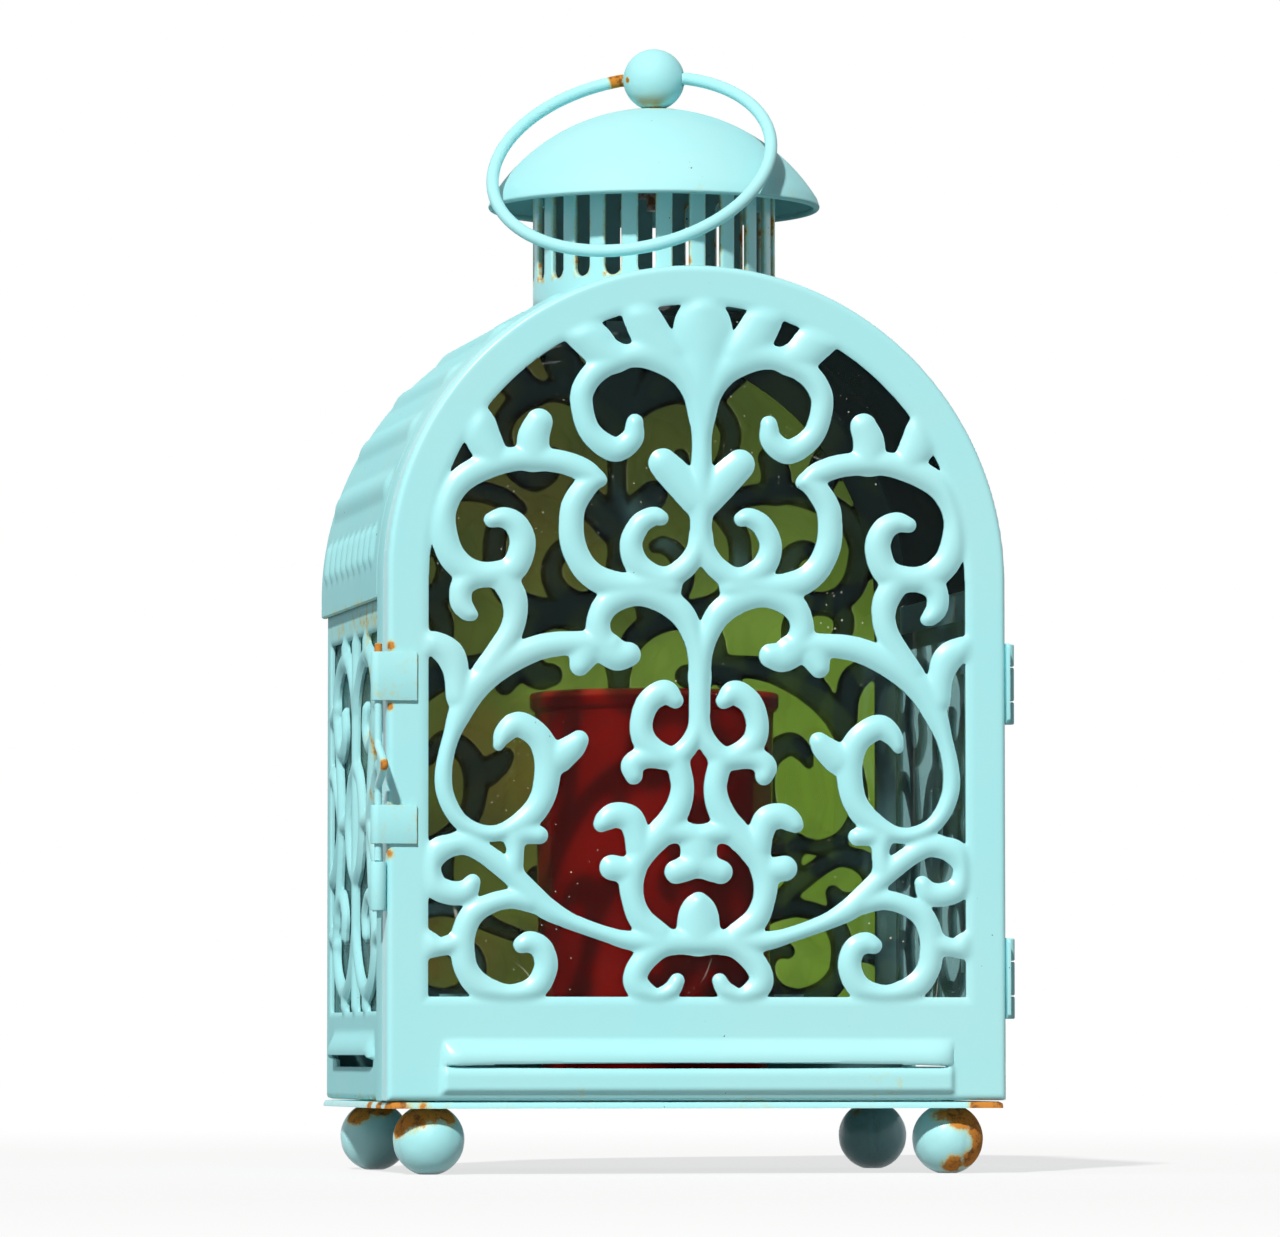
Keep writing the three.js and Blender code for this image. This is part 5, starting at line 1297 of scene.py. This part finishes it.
def dust_and_scratches():
    """Grains of dust that stand in crowds, and hairline scratches, with nothing between them."""
    finish, shader = new_finish("dust_on_the_pane")
    tree = finish.node_tree
    place = place_in(finish)

    grains = add_node(tree, "ShaderNodeTexVoronoi", {"Vector": place, "Scale": 560}).outputs
    sizes = add_node(tree, "ShaderNodeSeparateColor", {0: grains["Color"]}).outputs
    crowd = ramp_of(noise_of(place, 35, 3), 0.35, 0.75, 0.02, 0.15)
    reach = combined("MULTIPLY", combined("POWER", sizes[0], 1.6), crowd)
    grain = ramp_of(combined("SUBTRACT", grains["Distance"], reach), 0.0, 0.04, 1, 0)

    waver = add_node(tree, "ShaderNodeTexNoise", {"Vector": place, "Scale": 40}).outputs["Color"]
    wavy = add_node(tree, "ShaderNodeVectorMath", {
        0: waver, 1: (0.012, 0.012, 0.012), 2: place,
    }, operation="MULTIPLY_ADD").outputs[0]
    hairs = add_node(tree, "ShaderNodeTexVoronoi", {"Vector": wavy, "Scale": 24}, feature="DISTANCE_TO_EDGE")
    hairline = ramp_of(hairs.outputs["Distance"], 0.0, 0.006, 1, 0)
    some = ramp_of(noise_of(place, 30, 2), 0.62, 0.70)
    scratch = combined("MULTIPLY", combined("MULTIPLY", hairline, some), 0.35)

    marked = combined("MAXIMUM", combined("MULTIPLY", grain, 0.5), scratch)
    give(shader, {
        "Base Color": dust_grey,
        "Roughness": 0.9,
        "Specular IOR Level": 0.1,
        "Alpha": combined("ADD", marked, 0.001),
    })
    return finish


def drawn_corners(node):
    """A node's lowest and highest corners in the drawing."""
    return [np.array(corner) / MM - set_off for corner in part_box(node)]


dress("door_glass", clear_glass("door_pane", glass_clear, bend=1.45, body=0.08, through=0.6))
# The side panes are tinted dark teal, and their film shows that teal too: painted shade on what is seen
# through them.
side_pane = clear_glass("side_pane", glass_painted_shade_tint, bend=1.04, body=0.9, through=0.6, film=0.2)
for node in ("left_glass", "right_glass"):
    dress(node, side_pane)

pane_low, pane_high = drawn_corners("rear_glass")
grid_u, grid_v = np.meshgrid(rear_us, rear_vs)
pane = arch_depth(grid_u, grid_v, pane_high[2] - sill - arch, pane_high[0], pane_low[2] - sill)
points, faces = press_sheet(
    rear_us, rear_vs, [pane], rear_step,
    lambda u, v, pane: np.full_like(u, pane_high[1]),
    lambda u, v, pane: np.full_like(u, pane_low[1]),
    lambda u, v, h: (-u, h, sill + v),
)
first, second, share, _, _ = cut_cells(pane, rear_step)
in_metal = rear_metal.ravel()[first] * (1 - share) + rear_metal.ravel()[second] * share
# The algae and painted light go only where the rear wall is open.
make_piece("rear_pane_algae_and_painted_light", points, faces, algae_and_painted_light_glass(), "lantern_body", ["rear_glass"],
           slot="clear_glass", growth=np.tile(1 - blend_in(in_metal, 0.4, 1.6), 2))

pane_low, pane_high = drawn_corners("door_glass")
us = grid_of(pane_low[0], pane_high[0], dust_step)
vs = grid_of(pane_low[2] - sill, pane_high[2] - sill, dust_step)
radius = pane_high[2] - sill - arch - dust_inset
foot = pane_low[2] - sill + dust_inset
film = arch_depth(*np.meshgrid(us, vs), radius, pane_high[0] - dust_inset, foot)
points, faces = press_sheet(
    us, vs, [film], dust_step,
    lambda u, v, film: np.full_like(u, pane_low[1] - dust_off[1]),
    lambda u, v, film: np.full_like(u, pane_low[1] - dust_off[0]),
    lambda u, v, h: (u, h, sill + v),
)
make_piece("dust_on_door_pane", points, faces, dust_and_scratches(), "door", slot="clear_glass")

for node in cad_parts:
    if "_glass_clip_" in node:
        dress(node, wall_finish)


# The hinges: two butt hinges of three knuckles on the right edge, one leaf welded to the door's
# turned edge and one to the frame, with a steel pin through the knuckles.
hinge_x = 81.35
hinge_y = -49.85
hinge_spans = {"lower": (20.6, 41.0), "upper": (95.4, 115.8)}
knuckle_length = 8.5
knuckle_radius = 1.7
knuckle_bore = 0.9
knuckle_ease = 0.25
hinge_gap = 0.3
leaf_inner = 79.65
leaf_sheet = 0.9
leaf_reach = 7.0
leaf_corner = 1.0
leaf_ease = 0.15


def joined(parts):
    """Several sets of points and faces as one."""
    points, faces, gone = [], [], 0
    for p, f in parts:
        points.append(np.asarray(p, float))
        faces += [[i + gone for i in face] for face in f]
        gone += len(p)
    return np.vstack(points), faces


def cut_plate(outline, thickness, ease):
    """Points and faces of a flat plate with that outline in u and v, thick in h, its edges eased."""
    form = bmesh.new()
    face = form.faces.new([form.verts.new((u, v, 0)) for u, v in outline])
    made = bmesh.ops.extrude_face_region(form, geom=[face])
    far = [g for g in made["geom"] if isinstance(g, bmesh.types.BMVert)]
    bmesh.ops.translate(form, vec=(0, 0, thickness), verts=far)
    bmesh.ops.recalc_face_normals(form, faces=form.faces)
    crisp = [e for e in form.edges if e.calc_face_angle(0) > math.radians(40)]
    bmesh.ops.bevel(
        form, geom=crisp, offset=ease, segments=2, profile=0.5, affect="EDGES", clamp_overlap=True,
    )
    form.verts.index_update()
    points = np.array([v.co[:] for v in form.verts])
    faces = [[v.index for v in f.verts] for f in form.faces]
    form.free()
    return points, faces


def knuckle(low, high):
    profile = [
        (knuckle_bore, low), (knuckle_radius - knuckle_ease, low), (knuckle_radius, low + knuckle_ease),
        (knuckle_radius, high - knuckle_ease), (knuckle_radius - knuckle_ease, high), (knuckle_bore, high),
    ]
    points, faces = turned(profile, 28, closed=True)
    return points + np.array([hinge_x, hinge_y, sill]), faces


neck = hinge_gap + knuckle_radius
shoulder = leaf_reach - leaf_corner
for name, (low, high) in hinge_spans.items():
    middle = (low + high) / 2
    m0 = middle - knuckle_length / 2
    m1 = middle + knuckle_length / 2
    g0 = m0 - hinge_gap
    g1 = m1 + hinge_gap
    body_outline = [
        (hinge_gap, m0), (neck, m0), (neck, low), (shoulder, low), (leaf_reach, low + leaf_corner),
        (leaf_reach, high - leaf_corner), (shoulder, high), (neck, high), (neck, m1), (hinge_gap, m1),
    ]
    door_outline = [
        (-hinge_gap, low), (-hinge_gap, g0), (-neck, g0), (-neck, g1), (-hinge_gap, g1), (-hinge_gap, high),
        (-shoulder, high), (-leaf_reach, high - leaf_corner),
        (-leaf_reach, low + leaf_corner), (-shoulder, low),
    ]
    for outline, knuckles, body, node in (
        (body_outline, [(m0, m1)], "lantern_body", f"{name}_hinge_body_leaf"),
        (door_outline, [(low, g0), (g1, high)], "door", f"{name}_hinge_door_leaf"),
    ):
        points, faces = cut_plate(outline, leaf_sheet, leaf_ease)
        points = np.stack([leaf_inner + points[:, 2], hinge_y + points[:, 0], sill + points[:, 1]], 1)
        points, faces = joined([(points, faces)] + [knuckle(a, b) for a, b in knuckles])
        wear = strongest(0.10, worn_spots(points, [(hinge_x, hinge_y, sill + middle, 4, 0.5)]))
        make_piece(f"{node}_plate", points, faces, wall_finish, body, [node], wear)
    dress(f"{name}_hinge_pin", plated_steel)


# The latch: a wire bolt with a finger pull bent into it. Two straps folded round it hold it on the
# door, and it drops into a rolled keeper on the frame. Rust seeps from behind the straps.
bolt_x = -81.55
bolt_y = -56.05
bolt_radius = 0.95
bolt_bore = 1.25
bolt_top = 114.0
bolt_foot = 59.9
pull_top = 88.7
pull_bottom = 78.4
pull_reach = 11.0
pull_corner = 1.6
strap_spans = {"lower": (64.1, 73.8), "upper": (99.9, 112.1)}
strap_sheet = 0.65
strap_reach = 9.6
strap_ease = 0.18
keeper_span = (47.5, 59.6)
keeper_wall = 0.85
keeper_end = -38.7
keeper_ease = 0.2


def folded_strip(line, thickness):
    """The outline of a strip of sheet seen on edge, along the line of its middle."""
    line = np.asarray(line, float)
    ahead = np.gradient(line, axis=0)
    ahead /= np.linalg.norm(ahead, axis=1)[:, None]
    side = np.stack([-ahead[:, 1], ahead[:, 0]], 1) * thickness / 2
    return np.vstack([line + side, (line - side)[::-1]]).tolist()


def round_bolt(radius, first, last, steps):
    """Points on an arc round the bolt, seen from above."""
    return [
        (bolt_x + radius * math.cos(math.radians(a)), bolt_y + radius * math.sin(math.radians(a)))
        for a in np.linspace(first, last, steps)
    ]


def bent_wire(corners, radius):
    """Points along a wire that is bent round at each corner."""
    corners = [np.array(corner) for corner in corners]
    line = [corners[0]]
    for before, at, after in zip(corners, corners[1:], corners[2:]):
        enter = at + (before - at) / np.linalg.norm(before - at) * radius
        leave = at + (after - at) / np.linalg.norm(after - at) * radius
        reached = line[-1]
        line += [reached + (enter - reached) * t for t in np.linspace(0, 1, 8)[1:]]
        line += [
            enter * (1 - t) ** 2 + 2 * at * t * (1 - t) + leave * t * t for t in np.linspace(0, 1, 9)[1:]
        ]
    reached = line[-1]
    return line + [reached + (corners[-1] - reached) * t for t in np.linspace(0, 1, 10)[1:]]


strap_radius = bolt_bore + strap_sheet / 2
for name, (low, high) in strap_spans.items():
    line = [(bolt_x + d, bolt_y - strap_radius) for d in np.linspace(strap_reach, 0.4, 24)]
    line += round_bolt(strap_radius, 270, 90, 28)
    points, faces = cut_plate(folded_strip(line, strap_sheet), high - low, strap_ease)
    points = points + np.array([0, 0, sill + low])
    from_edge = np.minimum(sill + high - points[:, 2], points[:, 2] - sill - low)
    wear = strongest(
        0.45 * close_to(np.abs(points[:, 0] - bolt_x - strap_reach), 0.5),
        0.35 * close_to(from_edge, 0.4),
        0.06,
    )
    make_piece(f"latch_strap_{name}_folded", points, faces, wall_finish, "door", [f"latch_strap_{name}"],
               wear)

pull = (pull_reach, (pull_top + pull_bottom) / 2)
line = bent_wire([(0, bolt_top), (0, pull_top), pull, (0, pull_bottom), (0, bolt_foot)], pull_corner)
points, faces = wire([(bolt_x, bolt_y - out, sill + z) for out, z in line], bolt_radius, 18)
wear = worn_spots(points, [
    (bolt_x, bolt_y, sill + 112, 5, 0.7), (bolt_x, bolt_y - pull_reach, sill + 83.5, 4, 0.6),
])
latch_finish = enamel("latch_enamel", specks=0.5, relief=0.3)
make_piece("latch_wire", points, faces, latch_finish, "bolt", ["latch_bolt"], wear)

keeper_radius = bolt_bore + keeper_wall / 2
line = [(bolt_x + keeper_radius, y) for y in np.linspace(keeper_end, bolt_y + 0.3, 24)]
line += round_bolt(keeper_radius, 0, -345, 44)
points, faces = cut_plate(folded_strip(line, keeper_wall), keeper_span[1] - keeper_span[0], keeper_ease)
points = points + np.array([0, 0, sill + keeper_span[0]])
wear = strongest(0.12, 0.6 * close_to(np.abs(points[:, 1] - keeper_end), 3))
make_piece("rolled_keeper", points, faces, wall_finish, "lantern_body", ["latch_keeper"], wear)


# The candle: a moulded cup of deep red plastic with a rolled rim, the pale wax in it, and the
# charred wick.
candle_floor = 18.5
cup_foot = 29.3
cup_top = 31.1
cup_rim = 32.3
cup_height = 105.0
cup_neck = 100.0
cup_wall = 1.6
cup_floor = 2.4
cup_deep = (0.38, 0.005, 0.003, 1)
cup_bright = (0.58, 0.009, 0.005, 1)
cup_rim_painted_highlight = (1.0, 0.09, 0.04, 1)
highlight_band = 2.0
wax_top = 42.0
wax_creamy = (0.80, 0.70, 0.52, 1)
wax_pale = (0.90, 0.84, 0.70, 1)
wick_foot = 7.0
wick_top = 55.0
wick_radius = 0.8
wick_steps = 60
wick_strand = 0.12
wick_black = (0.012, 0.010, 0.008, 1)
wick_charred = (0.09, 0.07, 0.05, 1)


def red_plastic():
    """Deep red plastic, a little clouded, with a painted highlight in its rim."""
    finish, shader = new_finish("red_cup")
    place = place_in(finish)
    height = add_node(finish.node_tree, "ShaderNodeSeparateXYZ", {0: place}).outputs["Z"]
    rim_low = (candle_floor + cup_height - highlight_band) * MM
    cloudy = ramp_of(noise_of(place, 40, 4), 0.35, 0.65)
    # a bright red band round the rim: a painted highlight
    at_rim = ramp_of(height, rim_low, rim_low + 1.0 * MM)
    give(shader, {
        "Base Color": mix_of(at_rim, mix_of(cloudy, cup_deep, cup_bright), cup_rim_painted_highlight),
        "Roughness": ramp_of(noise_of(place, 420, 4), 0.45, 0.75, 0.04, 0.14),
        "IOR": 1.06,
        "Transmission Weight": 0.35,
    })
    return finish


def pale_wax():
    finish, shader = new_finish("candle_wax")
    place = place_in(finish)
    give(shader, {
        "Base Color": mix_of(noise_of(place, 90, 4), wax_creamy, wax_pale),
        "Roughness": ramp_of(noise_of(place, 300, 3), 0.3, 0.7, 0.35, 0.6),
        "Subsurface Weight": 0.3,
        "Subsurface Radius": (0.006, 0.003, 0.0015),
        "Subsurface Scale": 1.0,
    })
    return finish


def charred_cotton():
    finish, shader = new_finish("burnt_wick")
    charred = noise_of(place_in(finish), 1800, 3)
    give(shader, {"Base Color": mix_of(charred, wick_black, wick_charred), "Roughness": 0.9})
    return finish


def cup_at(z):
    """The cup's outer radius at a height."""
    return cup_foot + (cup_top - cup_foot) * z / cup_height


on_tray = np.array([0, axis_y, candle_floor])
in_rim = cup_rim - cup_wall
profile = [(0, 0), (cup_foot - 2.2, 0)]
profile += arc(1.5, 1.5, -70, 0, 6, cup_foot - 1.5)
profile += [(cup_at(z), z) for z in np.linspace(4, cup_neck, 24)]
profile += [(cup_rim - 0.5, cup_neck + 0.5), (cup_rim, cup_neck + 1.3), (cup_rim, cup_height - 0.8)]
profile += [(cup_rim - 0.25, cup_height - 0.2), (cup_rim - 0.8, cup_height), (in_rim + 0.3, cup_height - 0.1)]
profile += [(in_rim, cup_height - 0.6), (in_rim, cup_neck + 1.0)]
profile += [(cup_at(z) - cup_wall, z) for z in np.linspace(cup_neck - 0.5, cup_floor + 1.5, 16)]
profile += [(cup_foot - cup_wall - 1.2, cup_floor), (0, cup_floor)]
points, faces = turned(profile, 128)
make_piece("red_candle_cup", points + on_tray, faces, red_plastic(), "candle", ["candle_cup"],
           crease=50, slot="red_cup")

at_wall = cup_at(wax_top) - cup_wall
profile = [(0, cup_floor + 0.3)]
profile += [(cup_at(z) - cup_wall - 0.3, z) for z in np.linspace(cup_floor + 1.6, wax_top - 0.4, 10)]
profile += [(at_wall - 0.8, wax_top), (at_wall - 3.3, wax_top - 1.5), (20, wax_top - 2.0)]
profile += [(10, wax_top - 2.3), (1.1, wax_top - 2.5), (1.1, wick_foot - 0.3), (0, wick_foot - 0.3)]
points, faces = turned(profile, 96)
make_piece("poured_wax", points + on_tray, faces, pale_wax(), "candle", ["candle_wax"],
           crease=50, slot="wax")

line = [(0.25 * math.sin(z * 0.5) * (z - 40) / 15 if z > 40 else 0, axis_y, candle_floor + z)
        for z in np.linspace(wick_foot, wick_top - 0.4, wick_steps)]
twisted = wick_radius * (1 - wick_strand * (np.arange(wick_steps) % 2))
points, faces = wire(line, twisted, 14)
make_piece("burnt_candle_wick", points, faces, charred_cotton(), "candle", ["candle_wick"],
           slot="wick_cord")
